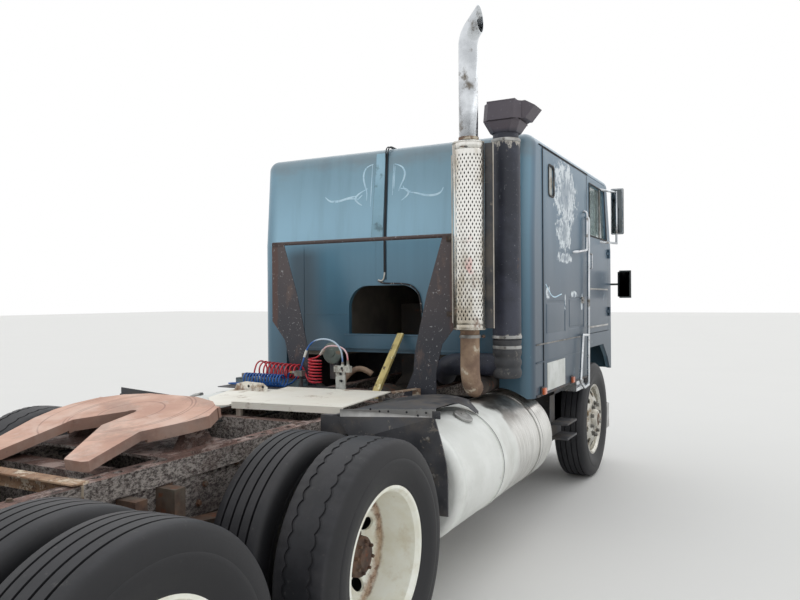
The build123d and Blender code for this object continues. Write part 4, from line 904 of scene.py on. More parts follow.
def recoated(node, name, body, slot, finishes, rule):
    """A node's own shape with several finishes: rule picks a face's by its middle and normal."""
    piece = copied(FRAME["nodes"][node], name, Matrix())
    for key in list(piece.keys()):
        del piece[key]
    piece.parent = None
    piece.matrix_world = Matrix()
    take(piece)
    edit_all()
    bpy.ops.mesh.remove_doubles(threshold=0.00002)
    leave_edit()
    piece.data.materials.clear()
    for finish in finishes:
        piece.data.materials.append(FINISHES[finish])
    for face in piece.data.polygons:
        face.material_index = rule(face.center, face.normal)
    settle(piece, 30, outward=False)
    return hung(piece, body, slot, node)


def bolt(name, centre, axis, radius, height, finish="steel_dull"):
    """A hexagon head on its washer, standing out along the axis; a negative height turns it round."""
    way = math.copysign(1, height)
    washer = radius * 1.5
    rings = [(0, washer), (way * 0.002, washer), (way * 0.0021, radius), (height * 0.85, radius)]
    rings.append((height, radius * 0.8))
    return turned(name, rings, centre, axis, finish, sides=6, smooth=20)


def shift(x=0.0, y=0.0, z=0.0):
    return Matrix.Translation((x, y, z))


# The hoses

# Routes in metres from the steer axle
RED_FEED = [
    (-0.01, 2.53, 1.206), (-0.01, 2.53, 1.256), (0.014, 2.52, 1.302), (0.062, 2.514, 1.328),
    (0.124, 2.508, 1.335), (0.186, 2.498, 1.328), (0.232, 2.482, 1.3), (0.262, 2.46, 1.271),
    (0.291, 2.452, 1.248),
]
RED_LINK = [
    (0.316, 2.447, 1.05), (0.356, 2.44, 1.05), (0.396, 2.424, 1.06), (0.432, 2.4, 1.082),
    (0.456, 2.385, 1.112),
]
RED_END = [
    (0.848, 2.5, 1.112), (0.856, 2.484, 1.086), (0.868, 2.456, 1.074), (0.884, 2.434, 1.077),
    (0.898, 2.4225, 1.083),
    (0.9055, 2.42, 1.085),
]
BLUE_FEED = [
    (0.034, 2.53, 1.206), (0.034, 2.53, 1.262), (0.052, 2.533, 1.322), (0.097, 2.535, 1.364),
    (0.16, 2.538, 1.382),
    (0.226, 2.542, 1.38), (0.284, 2.548, 1.357), (0.322, 2.554, 1.308), (0.341, 2.56, 1.248),
    (0.372, 2.546, 1.19),
    (0.414, 2.522, 1.132), (0.456, 2.514, 1.074), (0.512, 2.512, 1.036), (0.586, 2.512, 1.028),
    (0.672, 2.513, 1.028),
    (0.758, 2.511, 1.028), (0.832, 2.512, 1.028), (0.899, 2.513, 1.028), (0.959, 2.514, 1.029),
    (1.000, 2.555, 1.031),
    (1.001, 2.613, 1.035), (0.96, 2.654, 1.041), (0.918, 2.65, 1.04), (0.89, 2.628, 1.036),
]
BLUE_END = [
    (0.503, 2.536, 1.096), (0.492, 2.543, 1.118), (0.475, 2.555, 1.131), (0.456, 2.564, 1.134),
    (0.4395, 2.566, 1.134),
]
STEPS_A_TURN = 12


def coil(turns, run, centre, radii, first, way=-1, upright=False):
    """Turns of a coil in points from the steer axle.

    run is where its axis starts and ends, centre the axis's other two places, radii its first and last
    radius and first the angle of its first point, in degrees. A wider turn stands higher.
    """
    count = round(turns * STEPS_A_TURN)
    points = []
    for step in range(count + 1):
        part = step / count
        angle = math.radians(first) + way * 2 * math.pi * step / STEPS_A_TURN
        radius = radii[0] + (radii[1] - radii[0]) * part ** 2
        along = run[0] + (run[1] - run[0]) * part
        lift = 0.0 if upright else radius - radii[0]
        reach = (centre[0] + radius * math.cos(angle), centre[1] + lift + radius * math.sin(angle))
        points.append((*reach, along) if upright else (along, *reach))
    return points


def red_route(hose):
    """Up from the manifold, down the standing coil and through the lying one to its coupling."""
    standing = coil(hose.upright_turns, (1.236, 1.058), (0.29, 2.5), (0.047, 0.047), -60, 1, upright=True)
    lying = coil(hose.red_turns + 1 / 3, (0.474, 0.838), (2.436, 1.127), (0.053, 0.062), 150)
    return RED_FEED + standing + RED_LINK + lying + RED_END


def blue_route(hose):
    """Over the red one, down and along the tray, back through the lying coil to its coupling."""
    lying = coil(hose.blue_turns + 1 / 3, (0.872, 0.508), (2.578, 1.071), (0.044, 0.044), -60)
    return BLUE_FEED + lying[1:] + BLUE_END


def cord_curve(name, route, diameter, finish):
    cord = drawn(name, [placed(*place) for place in route], diameter / 2, 6, 3)
    cord.data.materials.append(FINISHES[finish])
    return cord


def line_of(curve_piece):
    """The points and length of a cord's own line, read from its spline with no thickness."""
    depth = curve_piece.data.bevel_depth
    curve_piece.data.bevel_depth = 0
    bpy.context.view_layer.update()
    mesh = bpy.data.meshes.new_from_object(curve_piece.evaluated_get(bpy.context.evaluated_depsgraph_get()))
    places = [vertex.co.copy() for vertex in mesh.vertices]
    curve_piece.data.bevel_depth = depth
    bpy.data.meshes.remove(mesh)
    return places, sum((after - before).length for before, after in zip(places, places[1:]))


def guard(name, places, start, reach, radius, finish):
    """A sleeve or spring along a stretch of a hose, from a point of its line on."""
    nearest = min(range(len(places)), key=lambda number: (places[number] - start).length)
    stretch = [places[nearest]]
    for place in places[nearest + 1:]:
        if (place - stretch[0]).length > reach:
            break
        stretch.append(place)
    return strand(name, stretch, radius, finish, sides=8)


class TRACTOR_OT_hoses(bpy.types.Operator):
    """The red and blue recoil hoses, from the manifold to their couplings"""

    bl_idname = "tractor.hoses"
    bl_label = "Air hoses"

    def execute(self, context):
        hose = settings("hose")
        # slot, route, and where its pale spring guard begins, from the steer axle
        table = [
            ("hose_red", red_route(hose), (0.232, 2.482, 1.3)),
            ("hose_blue", blue_route(hose), (0.322, 2.554, 1.3)),
        ]
        for slot, route, sprung in table:
            cord = cord_curve(slot + "_line", route, hose.diameter, slot)
            places, measured = line_of(cord)
            hung(cord, "chassis", slot, slot)
            collar = guard(slot + "_collar", places, places[0], 0.034, 0.0098, "steel_dull")
            spring = guard(slot + "_guard", places, placed(*sprung), 0.062, 0.0088, "guard_white")
            end = guard(slot + "_end", places[::-1], places[-1], 0.026, 0.0095, "brass")
            pieces = joined(slot + "_guards", [collar, spring, end])
            hung(pieces, "chassis", "coupling_metal")
            placed(*route[0])
        return {"FINISHED"}


# The wheels

def tyre_rings(depth, width, grooves):
    """Half a tyre's section from the bead out, then the grooved crown, then the other half."""
    wall = [
        (-0.1, 0.311), (-0.113, 0.325), (-0.1165, 0.336), (-0.122, 0.352), (-0.133, 0.378), (-0.139, 0.4),
        (-0.141, 0.424), (-0.1405, 0.438), (-0.1385, 0.441), (-0.139, 0.456), (-0.134, 0.482), (-0.128, 0.5),
        (-0.1235, 0.508), (-0.1165, 0.517), (-0.107, 0.523),
    ]
    wall = [(x * TYRE_HALF / 0.141, r * TYRE_R / 0.527) for x, r in wall]
    crown = []
    for middle in grooves:
        for off, down in ((-0.5, 0), (-0.36, depth), (0.36, depth), (0.5, 0)):
            x = middle + off * width
            crown.append((x, TYRE_R - 0.0002 - 0.003 * (x / 0.107) ** 2 - down))
    return wall + crown + [(-x, r) for x, r in reversed(wall)]


def scalloped(piece, scallops, reach):
    """Waves a tyre's two grooves, as the worn edges of its lugs, and nicks its shoulders."""
    for vertex in piece.data.vertices:
        here = vertex.co
        far = math.hypot(here.y, here.z)
        if far < TYRE_R - 0.02:
            continue
        turn = math.atan2(here.z, here.y) * scallops / 2
        wave = abs(math.sin(turn))
        groove = max(0.0, 1 - abs(abs(here.x) - 0.05) / 0.03)
        here.x += math.copysign(reach * wave * groove, here.x)
        shoulder = max(0.0, 1 - abs(abs(here.x) - 0.112) / 0.01)
        if wave < 0.35 and shoulder:
            down = 1 - 0.004 * shoulder / far
            here.y *= down
            here.z *= down
    return piece


class TRACTOR_OT_tyres(bpy.types.Operator):
    """Ten tyres with grooved treads, two on the steer axle and eight on the driven ones"""

    bl_idname = "tractor.tyres"
    bl_label = "Tyres"

    def execute(self, context):
        wheels = settings("wheels")
        rings = tyre_rings(wheels.groove_depth, wheels.groove_width, (-0.072, -0.025, 0.025, 0.072))
        plain = turned(
            "tyre", rings, (0, 0, 0), "X", "tyre_rubber", sides=wheels.sides, closed=True, smooth=32
        )
        rings = tyre_rings(wheels.groove_depth * 0.5, wheels.groove_width * 1.5, (-0.05, 0.05))
        lugged = turned(
            "tyre_lugged", rings, (0, 0, 0), "X", "tyre_rubber", sides=wheels.lug_sides, closed=True
        )
        settle(scalloped(lugged, wheels.scallops, 0.018), 32)
        for side, sign in SIDES.items():
            node = f"tyre_front_{side}"
            low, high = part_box(node)
            tyre = copied(plain, node + "_grooved", Matrix.Translation((low + high) / 2))
            hung(tyre, f"wheel_front_{side}", "tyre_rubber", node)
            for axle in DRIVEN:
                node = f"tyres_{axle}_{side}"
                low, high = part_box(node)
                middle = (low + high) / 2
                reach = sign * ((high.x - low.x) / 2 - TYRE_HALF)
                pair = [
                    copied(shape, node, Matrix.Translation(middle + Vector((off * reach, 0, 0))))
                    for shape, off in ((plain, -1), (lugged if axle == "drive1" else plain, 1))
                ]
                hung(joined(node + "_grooved", pair), f"wheels_{axle}_{side}", "tyre_rubber", node)
        for spare in (plain, lugged):
            bpy.data.objects.remove(spare)
        return {"FINISHED"}


def ring_of(name, piece, count, radius, centre, start=0.0):
    """Copies of a piece that stands at the origin, round a circle about an axis along X."""
    matrices = [
        Matrix.Translation(centre)
        @ Matrix.Rotation(start + 2 * math.pi * number / count, 4, "X")
        @ Matrix.Translation((0, 0, radius))
        for number in range(count)
    ]
    return repeated(name, piece, matrices)


# The flange of a driven axle: how far out of the wheel's middle, and its radius
FLANGE = [
    (0.0, 0.124), (0.052, 0.122), (0.056, 0.105), (0.1, 0.092), (0.145, 0.088), (0.152, 0.08), (0.156, 0.052),
    (0.166, 0.046), (0.168, 0.02),
]


class TRACTOR_OT_wheel_fittings(bpy.types.Operator):
    """The finishes of the rims, with the nuts, studs and caps on them"""

    bl_idname = "tractor.wheel_fittings"
    bl_label = "Wheel fittings"

    def execute(self, context):
        wheels = settings("wheels")
        for side, sign in SIDES.items():
            low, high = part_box(f"tyre_front_{side}")
            coat(f"rim_front_{side}", "rim_aluminium")
            face = (low + high) / 2 + Vector((sign * 0.118, 0, 0))
            nut = bolt("nut", (0, 0, 0), "X", 0.0165, sign * 0.028)
            nuts = ring_of(f"nuts_front_{side}", nut, wheels.nuts, 0.148, face)
            hung(nuts, f"wheel_front_{side}", "rim_aluminium")
            cap = turned(
                f"hub_cap_front_{side}",
                [(0, 0.072), (0.02 * sign, 0.07), (0.034 * sign, 0.052), (0.038 * sign, 0.02)],
                face + Vector((sign * 0.004, 0, 0)), "X", "hub_rust", sides=32,
            )
            hung(cap, f"wheel_front_{side}", "rim_aluminium")
            for axle in DRIVEN:
                body = f"wheels_{axle}_{side}"
                node = f"rims_{axle}_{side}"
                coat(node, f"rim_{axle}")
                low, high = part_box(f"tyres_{axle}_{side}")
                middle = (low + high) / 2
                face = middle + Vector((sign * 0.012, 0, 0))
                nut = bolt("nut", (0, 0, 0), "X", 0.0165, sign * 0.036, "hub_rust")
                nuts = ring_of(f"nuts_{axle}_{side}", nut, wheels.nuts, 0.155, face)
                hung(nuts, body, "rim_white")
                rings = [(sign * out, radius) for out, radius in FLANGE]
                hub = turned(f"axle_flange_{axle}_{side}", rings, middle, "X", "hub_rust", sides=40)
                stud = bolt("stud", (0, 0, 0), "X", 0.008, sign * 0.016, "hub_rust")
                studs = ring_of("studs", stud, 8, 0.067, middle + Vector((sign * 0.153, 0, 0)), 0.2)
                hung(joined(f"axle_flange_{axle}_{side}", [hub, studs]), body, "rim_white")
        return {"FINISHED"}


# The stacks behind the cab

def diamond_sheet(name, width, height, cell, strand_width, margins, finish):
    """An upright sheet of diamond mesh, standing on z = 0, x from 0 to the width; margins stay plain.

    cell is a diamond's width and height, and margins are the left, right, low and top ones.
    """
    columns = round(width / cell[0]) + round(height / cell[1]) + 2
    deselect()
    bpy.ops.mesh.primitive_grid_add(x_subdivisions=columns, y_subdivisions=columns, size=1)
    piece = bpy.context.object
    piece.name = name
    for vertex in piece.data.vertices:
        u, v = vertex.co.x * columns, vertex.co.y * columns
        vertex.co = Vector((width / 2 + (u - v) * cell[0] / 2, 0, height / 2 + (u + v) * cell[1] / 2))
    take(piece)
    bpy.ops.object.mode_set(mode="EDIT")
    left, right, low, top = margins
    cuts = [((left, 0, 0), (-1, 0, 0)), ((width - right, 0, 0), (1, 0, 0)), ((0, 0, low), (0, 0, -1)),
            ((0, 0, height - top), (0, 0, 1))]
    for place, way in cuts:
        bpy.ops.mesh.select_all(action="SELECT")
        bpy.ops.mesh.bisect(plane_co=place, plane_no=way, clear_outer=True)
    half = 0.49

    def whole(middle):
        across = min(middle.x - left, width - right - middle.x) / cell[0]
        up = min(middle.z - low, height - top - middle.z) / cell[1]
        return across > half and up > half

    pick(piece, whole)
    bpy.ops.mesh.inset(thickness=strand_width / 2, use_individual=True)
    bpy.ops.mesh.delete(type="FACE")
    leave_edit()
    return painted(piece, finish)


def wrapped(piece, width, centre, radius, low):
    """Bends an upright sheet round the rear half of a post."""
    for vertex in piece.data.vertices:
        angle = vertex.co.x / width * math.pi
        vertex.co = centre + Vector((math.cos(angle) * radius, math.sin(angle) * radius, low + vertex.co.z))
    return piece


def half_ring(name, centre, radius, z, thickness, finish):
    arc = [
        centre + Vector((math.cos(angle) * radius, math.sin(angle) * radius, z))
        for angle in (math.pi * step / 16 for step in range(17))
    ]
    return strand(name, arc, thickness, finish)


class TRACTOR_OT_heat_shield(bpy.types.Operator):
    """The guard of diamond mesh round the silencer, with its plain edges and the strip beside it"""

    bl_idname = "tractor.heat_shield"
    bl_label = "Heat shield"

    def execute(self, context):
        low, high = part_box("heat_shield")
        radius = (high.x - low.x) / 2 - 0.0015
        centre = Vector(((low.x + high.x) / 2, low.y, 0))
        width, height = math.pi * radius, high.z - low.z
        left, right, foot, top = 0.106, 0.024, 0.035, 0.05
        mesh = diamond_sheet(
            "shield_mesh", width, height, (0.025, 0.047), 0.0124, (left, right, foot, top), "shield_metal"
        )
        wrapped(mesh, width, centre, radius, low.z)
        parts = [mesh]
        frames = [
            (0, 0, left + 0.001, height), (width - right - 0.001, 0, width, height),
            (left, 0, width - right, foot + 0.001), (left, height - top - 0.001, width - right, height),
        ]
        for x0, z0, x1, z1 in frames:
            deselect()
            bpy.ops.mesh.primitive_grid_add(x_subdivisions=24, y_subdivisions=2, size=1)
            band = bpy.context.object
            for vertex in band.data.vertices:
                across, up = vertex.co.x + 0.5, vertex.co.y + 0.5
                vertex.co = Vector((x0 + across * (x1 - x0), 0, z0 + up * (z1 - z0)))
            parts.append(painted(wrapped(band, width, centre, radius, low.z), "shield_metal"))
        sheet = joined("shield_mesh", parts)
        settle(sheet, 40)
        modify(sheet, "SOLIDIFY", thickness=0.0022, offset=0)
        hoops = [("shield_hem", 0, z, 0.0045) for z in (low.z + 0.006, high.z - 0.006)]
        hoops += [("shield_seam", 0.001, z, 0.0022) for z in (2.03, 1.6)]
        rims = [
            half_ring(name, centre, radius + out, z, thick, "shield_metal") for name, out, z, thick in hoops
        ]
        collar = turned(
            "shield_top", [(0, 0.066), (0.001, radius + 0.012), (0.012, radius + 0.012), (0.013, 0.066)],
            (centre.x, centre.y, high.z - 0.001), "Z", "elbow_rust", sides=40,
        )
        hung(joined("heat_shield_mesh", [sheet, *rims, collar]), "chassis", "bright_metal", "heat_shield")
        x, y = high.x + 0.01, low.y - 0.04
        parts = [slab("shield_strip", (x, y - 0.006, 1.5), (x + 0.026, y, high.z - 0.06), "strip_beige")]
        for z in (1.56, 2.06, 2.54):
            parts.append(
                slab("strip_ear", (x - 0.022, y - 0.004, z), (x + 0.008, y, z + 0.036), "strip_beige", 0.001)
            )
        hung(joined("shield_side_strip", parts), "chassis", "bright_metal")
        # A dark sheet beside the shield: partly a bracket sheet with a pale lip, partly painted shade on the
        # shield's far side.
        x, y = low.x - 0.056, low.y - 0.012
        z0, z1 = low.z + 0.01, high.z - 0.01
        back = slab("shield_back", (x, y - 0.004, z0), (low.x + 0.004, y, z1), "flap_black", 0.001)
        lip = strand("back_lip", [(x, y, z0), (x, y, 2.0), (x, y, z1)], 0.0035, "strip_beige")
        hung(joined("shield_shade_sheet", [back, lip]), "chassis", "bright_metal")
        return {"FINISHED"}


class TRACTOR_OT_exhaust(bpy.types.Operator):
    """The chrome outlet, the dark silencer and the rusty pipe under it"""

    bl_idname = "tractor.exhaust"
    bl_label = "Exhaust"

    def execute(self, context):
        low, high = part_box("heat_shield")
        recoated(
            "exhaust", "exhaust_pipes", "chassis", "bright_metal", ("elbow_rust", "silencer", "chrome"),
            lambda middle, facing: (0 if middle.y > low.y - 0.1 else 1) if middle.z < low.z - 0.02
            else 1 if middle.z < high.z - 0.005 else 2,
        )
        middle = ((low.x + high.x) / 2, low.y)
        clamps = []
        for z, reach, finish in ((high.z + 0.013, 0.0665, "elbow_rust"), (low.z - 0.055, 0.07, "steel_dull")):
            rings = [(0, reach - 0.006), (0.001, reach), (0.021, reach), (0.022, reach - 0.006)]
            clamps.append(turned("band", rings, ((low.x + high.x) / 2, low.y, z), "Z", finish, sides=40))
        place = (low.x + 0.035, low.y - 0.062, low.z - 0.045)
        clamps.append(bolt("clamp_bolt", place, "Y", 0.009, 0.03, "hub_rust"))
        frame_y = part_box("stack_frame")[1].y
        for z in (1.56, 2.07):
            for x in (-0.775, -0.735):
                clamps.append(bolt("bracket_bolt", (x, frame_y + 0.012, z), "Y", 0.01, 0.012, "hub_rust"))
        hung(joined("exhaust_clamps", clamps), "chassis", "bright_metal")
        return {"FINISHED"}


class TRACTOR_OT_intake(bpy.types.Operator):
    """The air intake's bands, its rubber boot and the finish of its stack"""

    bl_idname = "tractor.intake"
    bl_label = "Air intake"

    def execute(self, context):
        coat("air_intake", "scratched_black")
        x, y = -1.04, 2.12 + STEER_Y
        bands = []
        for z, reach, finish in (
            (2.728, 0.1015, "aluminium"), (1.388, 0.102, "aluminium"), (1.318, 0.0995, "aluminium")
        ):
            bands.append(turned(
                "band", [(0, reach - 0.005), (0.001, reach - 0.001), (0.006, reach), (0.017, reach),
                         (0.022, reach - 0.001), (0.023, reach - 0.005)],
                (x, y, z), "Z", finish, sides=48,
            ))
            bands.append(bolt("band_bolt", (x - 0.02, y + reach + 0.001, z + 0.0115), "Y", 0.006, 0.012))
        hung(joined("intake_bands", bands), "chassis", "bright_metal")
        rings = [(0, 0.082), (0.004, 0.09)]
        for number in range(3):
            for step in range(8):
                swell = math.sin(math.pi * (step + 0.5) / 8)
                rings.append((0.006 + 0.07 * number + 0.07 * step / 8, 0.09 + 0.01 * swell))
        rings += [(0.22, 0.092), (0.24, 0.0985), (0.262, 0.0985), (0.264, 0.09)]
        sleeve = turned("intake_boot", rings, (x, y, 1.118), "Z", "boot_rubber", sides=48, smooth=60)
        hung(sleeve, "chassis", "intake_black")
        low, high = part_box("air_intake")
        hood = [half_ring("hood_hem", Vector((x, y, 0)), 0.09, 2.862, 0.003, "scratched_black")]
        for angle in (40, 90, 140, 220, 270, 320):
            turn = math.radians(angle)
            place = (x + 0.085 * math.cos(turn), y + 0.085 * math.sin(turn), high.z - 0.001)
            rings = [(0, 0.007), (0.002, 0.006), (0.003, 0.002)]
            hood.append(turned("rivet", rings, place, "Z", "scratched_black", 8))
        hung(joined("hood_rivets", hood), "chassis", "intake_black")
        return {"FINISHED"}


# The cab

def wall_y(z):
    """How far back the rear wall stands at a height: it leans forward over the crease."""
    return REAR_WALL - max(0.0, z - CREASE) / (ROOF - CREASE) * REAR_LEAN


def stroke(name, points, width, finish):
    """A brushed line on the rear wall: thin at both ends, raised by a hair."""
    piece = drawn(name, points, width / 2, 10, 1)
    for number, point in enumerate(piece.data.splines[0].points):
        point.radius = 0.3 + 0.7 * math.sin(math.pi * number / (len(points) - 1))
    take(piece)
    bpy.ops.object.convert(target="MESH")
    piece = bpy.context.object
    for vertex in piece.data.vertices:
        base = wall_y(vertex.co.z)
        vertex.co.y = base + (vertex.co.y - base) * 0.15
    return painted(settle(piece, 60), finish)


def rear_strokes():
    """A small pinstripe scroll in (x, z) points and its width: the left half, then the right one."""
    return [
        (0.017, [(0.115, 2.722), (0.166, 2.712), (0.197, 2.672), (0.203, 2.618), (0.186, 2.558),
                 (0.162, 2.499),
                 (0.168, 2.437)]),
        (0.012, [(0.122, 2.723), (0.127, 2.56), (0.131, 2.39)]),
        (0.018, [(0.16, 2.532), (0.225, 2.507), (0.264, 2.477), (0.276, 2.454), (0.232, 2.413),
                 (0.207, 2.403)]),
        (0.015, [(0.206, 2.486), (0.228, 2.47), (0.251, 2.447)]),
        (0.021, [(0.25, 2.482), (0.329, 2.474), (0.398, 2.453), (0.467, 2.449), (0.518, 2.455),
                 (0.554, 2.491)]),
        (0.014, [(0.467, 2.437), (0.368, 2.46), (0.309, 2.466), (0.24, 2.455)]),
        (0.017, [(-0.075, 2.708), (-0.132, 2.692), (-0.168, 2.645), (-0.162, 2.587), (-0.13, 2.534),
                 (-0.116, 2.494)]),
        (0.012, [(-0.068, 2.705), (-0.065, 2.58), (-0.062, 2.466)]),
        (0.012, [(-0.079, 2.691), (-0.076, 2.6), (-0.074, 2.514)]),
        (0.017, [(-0.116, 2.511), (-0.17, 2.514), (-0.206, 2.48), (-0.191, 2.449), (-0.142, 2.42)]),
        (0.014, [(-0.152, 2.532), (-0.179, 2.474), (-0.22, 2.487)]),
        (0.019, [(-0.196, 2.48), (-0.259, 2.471), (-0.33, 2.447), (-0.4, 2.438), (-0.452, 2.446),
                 (-0.483, 2.467),
                 (-0.491, 2.494)]),
    ]


class TRACTOR_OT_cab_rear(bpy.types.Operator):
    """The sleeper's rear wall: its strip, tubes, scrolls and seams, with the roof's drip rails"""

    bl_idname = "tractor.cab_rear"
    bl_label = "Rear wall"

    def execute(self, context):
        for node in ("cab_rear", "cab_roof", "cab_front", "cab_sides"):
            coat(node, "cab_paint")
        parts = []
        for width, points in rear_strokes():
            route = [(x, wall_y(z) + 0.0003, z) for x, z in points]
            parts.append(stroke("scroll", route, width, "scroll_white"))
        hung(joined("rear_scrolls", parts), "cab", "cab_trim")
        hung(self.strip(), "cab", "cab_blue").name = "rear_strip"
        hung(self.tubes(), "cab", "cab_trim")
        hung(self.seams(), "cab", "cab_blue")
        rails = []
        for sign in SIDES.values():
            low = (sign * (CAB_HALF - 0.006), STEER_Y + 0.3, CAB_HIGH.z - 0.004)
            high = (sign * (CAB_HALF + 0.005), REAR_WALL - 0.2, CAB_HIGH.z + 0.004)
            rails.append(slab("drip_rail", low, high, "drip_black"))
        hung(joined("roof_drip_rails", rails), "cab", "cab_trim")
        return {"FINISHED"}

    def strip(self):
        """The raised strip up the middle of the upper wall, wider at its foot."""
        low, high = 2.118, ROOF - 0.045
        piece = slab("strip", (0.0, 0.0, low), (0.1, 0.012, high), "strip_paint", 0.002)
        for vertex in piece.data.vertices:
            part = (vertex.co.z - low) / (high - low)
            left, right = 0.008 - 0.004 * part, 0.11 - 0.028 * part
            vertex.co.x = left + (right - left) * vertex.co.x / 0.1
            vertex.co.y += wall_y(vertex.co.z) - 0.001
        edge = [(0.113, 2.12), (0.099, 2.47), (0.085, high - 0.01)]
        line = strand("strip_line", [(x, wall_y(z) + 0.001, z) for x, z in edge], 0.0026, "drip_black")
        route = [(0.069, REAR_WALL + 0.001, z) for z in (1.812, 1.96, 2.112)]
        low_line = strand("strip_line", route, 0.0024, "drip_black")
        shadows = []
        for low, high in ((1.815, 2.112), (2.118, ROOF - 0.045)):
            shadow = slab("strip_side", (-0.022, 0.0, low), (0.004, 0.004, high), "strip_shadow", 0.001)
            for vertex in shadow.data.vertices:
                vertex.co.y += wall_y(vertex.co.z) - 0.001
            shadows.append(shadow)
        return joined("strip", [piece, line, low_line, *shadows])

    def tubes(self):
        """Two thin tubes over the roof's edge and down the strip, and a harness over the arch."""
        made = []
        for x in (0.002, -0.018):
            route = [(x, REAR_WALL - 0.3, ROOF + 0.008), (x, REAR_WALL - 0.155, ROOF + 0.01)]
            route += [(x, REAR_WALL - 0.075, ROOF + 0.014), (x, REAR_WALL - 0.04, ROOF - 0.03)]
            route += [
                (x * 0.4 - 0.004, wall_y(z) + 0.006, z) for z in (2.72, 2.6, 2.4, 2.16, 2.1, 1.98, 1.87)
            ]
            made.append(strand("tube", route, 0.0048, "drip_black"))
        hook = [(-0.01, 1.87), (-0.004, 1.825), (0.01, 1.806), (0.034, 1.806), (0.047, 1.812)]
        made.append(strand("tube_end", [(x, REAR_WALL + 0.01, z) for x, z in hook], 0.006, "guard_white"))
        arch = [(0.046, 1.806), (0.01, 1.786), (-0.05, 1.784), (-0.16, 1.781), (-0.232, 1.77),
                (-0.276, 1.736),
                (-0.312, 1.69), (-0.326, 1.56)]
        made.append(strand("harness", [(x, REAR_WALL + 0.01, z) for x, z in arch], 0.0065, "harness_black"))
        return joined("rear_tubes", made)

    def seams(self):
        """The pressed lines of the lower wall and the hem under the arched opening."""
        made = []
        wall = REAR_WALL
        for sign in (1, -1):
            x0, x1 = sign * 0.345, sign * 0.748
            made.append(
                slab("seam", (x0, wall - 0.001, 1.544), (x1, wall + 0.002, 1.549), "cab_paint", 0.0008)
            )
            edge = sign * 0.75
            made.append(slab("seam", (edge - 0.002, wall - 0.001, 1.26), (edge + 0.002, wall + 0.003, 2.095),
                             "cab_paint", 0.001))
            made.append(slab("hem", (x0, wall - 0.001, 1.262), (x1, wall + 0.004, 1.28), "cab_paint", 0.002))
        made.append(
            slab("sill_edge", (-0.349, wall + 0.01, 1.383), (0.349, wall + 0.032, 1.394), "cab_paint", 0.003)
        )
        return joined("rear_seams", made)


def side_skin(side, sign):
    """The sleeper's side sheet, with its window opening and two stamped panels."""
    x = sign * (CAB_HALF + 0.0005)
    # along the cab and height of each line that the sheet is cut on, from the steer axle
    ends, heights = (0.338, 1.7), (0.957, 2.763)
    window = ((1.42, 1.55), (2.44, 2.656))
    stamps = [((0.468, 0.986), (1.404, 1.674)), ((1.093, 1.645), (1.397, 1.646))]
    deselect()
    bpy.ops.mesh.primitive_plane_add(size=1)
    piece = bpy.context.object
    piece.name = f"sleeper_skin_{side}"
    for vertex in piece.data.vertices:
        y = ends[0] + (vertex.co.x + 0.5) * (ends[1] - ends[0])
        vertex.co = Vector((x, y + STEER_Y, heights[0] + (vertex.co.y + 0.5) * (heights[1] - heights[0])))
    take(piece)
    bpy.ops.object.mode_set(mode="EDIT")
    boxes = [window, *stamps]
    for y in sorted({y for box in boxes for y in box[0]}):
        bpy.ops.mesh.select_all(action="SELECT")
        bpy.ops.mesh.bisect(plane_co=(x, y + STEER_Y, 0), plane_no=(0, 1, 0))
    for z in sorted({z for box in boxes for z in box[1]}):
        bpy.ops.mesh.select_all(action="SELECT")
        bpy.ops.mesh.bisect(plane_co=(x, 0, z), plane_no=(0, 0, 1))

    def within(box):
        (y0, y1), (z0, z1) = box
        return lambda m: y0 < m.y - STEER_Y < y1 and z0 < m.z < z1

    for stamp in stamps:
        pick(piece, within(stamp))
        bpy.ops.mesh.inset(thickness=0.012)
        bpy.ops.transform.translate(value=(-sign * 0.009, 0, 0))
        bpy.ops.mesh.inset(thickness=0.02)
        bpy.ops.transform.translate(value=(sign * 0.009, 0, 0))
    pick(piece, within(window))
    bpy.ops.mesh.delete(type="FACE")
    bpy.ops.mesh.select_all(action="SELECT")
    bpy.ops.mesh.normals_make_consistent(inside=False)
    leave_edit()
    if piece.data.polygons[0].normal.x * sign < 0:
        piece.data.flip_normals()
    modify(piece, "SOLIDIFY", thickness=0.005, offset=1)
    modify(piece, "BEVEL", width=0.0015, segments=2, limit_method="ANGLE", angle_limit=math.radians(25))
    return painted(settle(piece, 30), "side_paint")


def window_rim(side, sign):
    """The small window's rubber: a flat ring with rounded corners round a pale blind."""
    x = sign * (CAB_HALF + 0.0055)
    (y0, y1), (z0, z1), turn = (1.412, 1.558), (2.432, 2.664), 0.03
    route = []
    for y, z, start in ((y1 - turn, z1 - turn, 0), (y0 + turn, z1 - turn, 90), (y0 + turn, z0 + turn, 180),
                        (y1 - turn, z0 + turn, 270)):
        for step in range(5):
            angle = math.radians(start + 22.5 * step)
            route.append(placed(x, y + turn * math.cos(angle), z + turn * math.sin(angle)))
    ring = strand("window_rim", route, 0.0085, "rubber", cyclic=True, order=2, steps=1)
    blind = slab("window_blind", placed(x - sign * 0.01, y0 + 0.004, z0 + 0.004),
                 placed(x - sign * 0.013, y1 - 0.004, z1 - 0.004), "plate_white", 0.001)
    return ring, blind


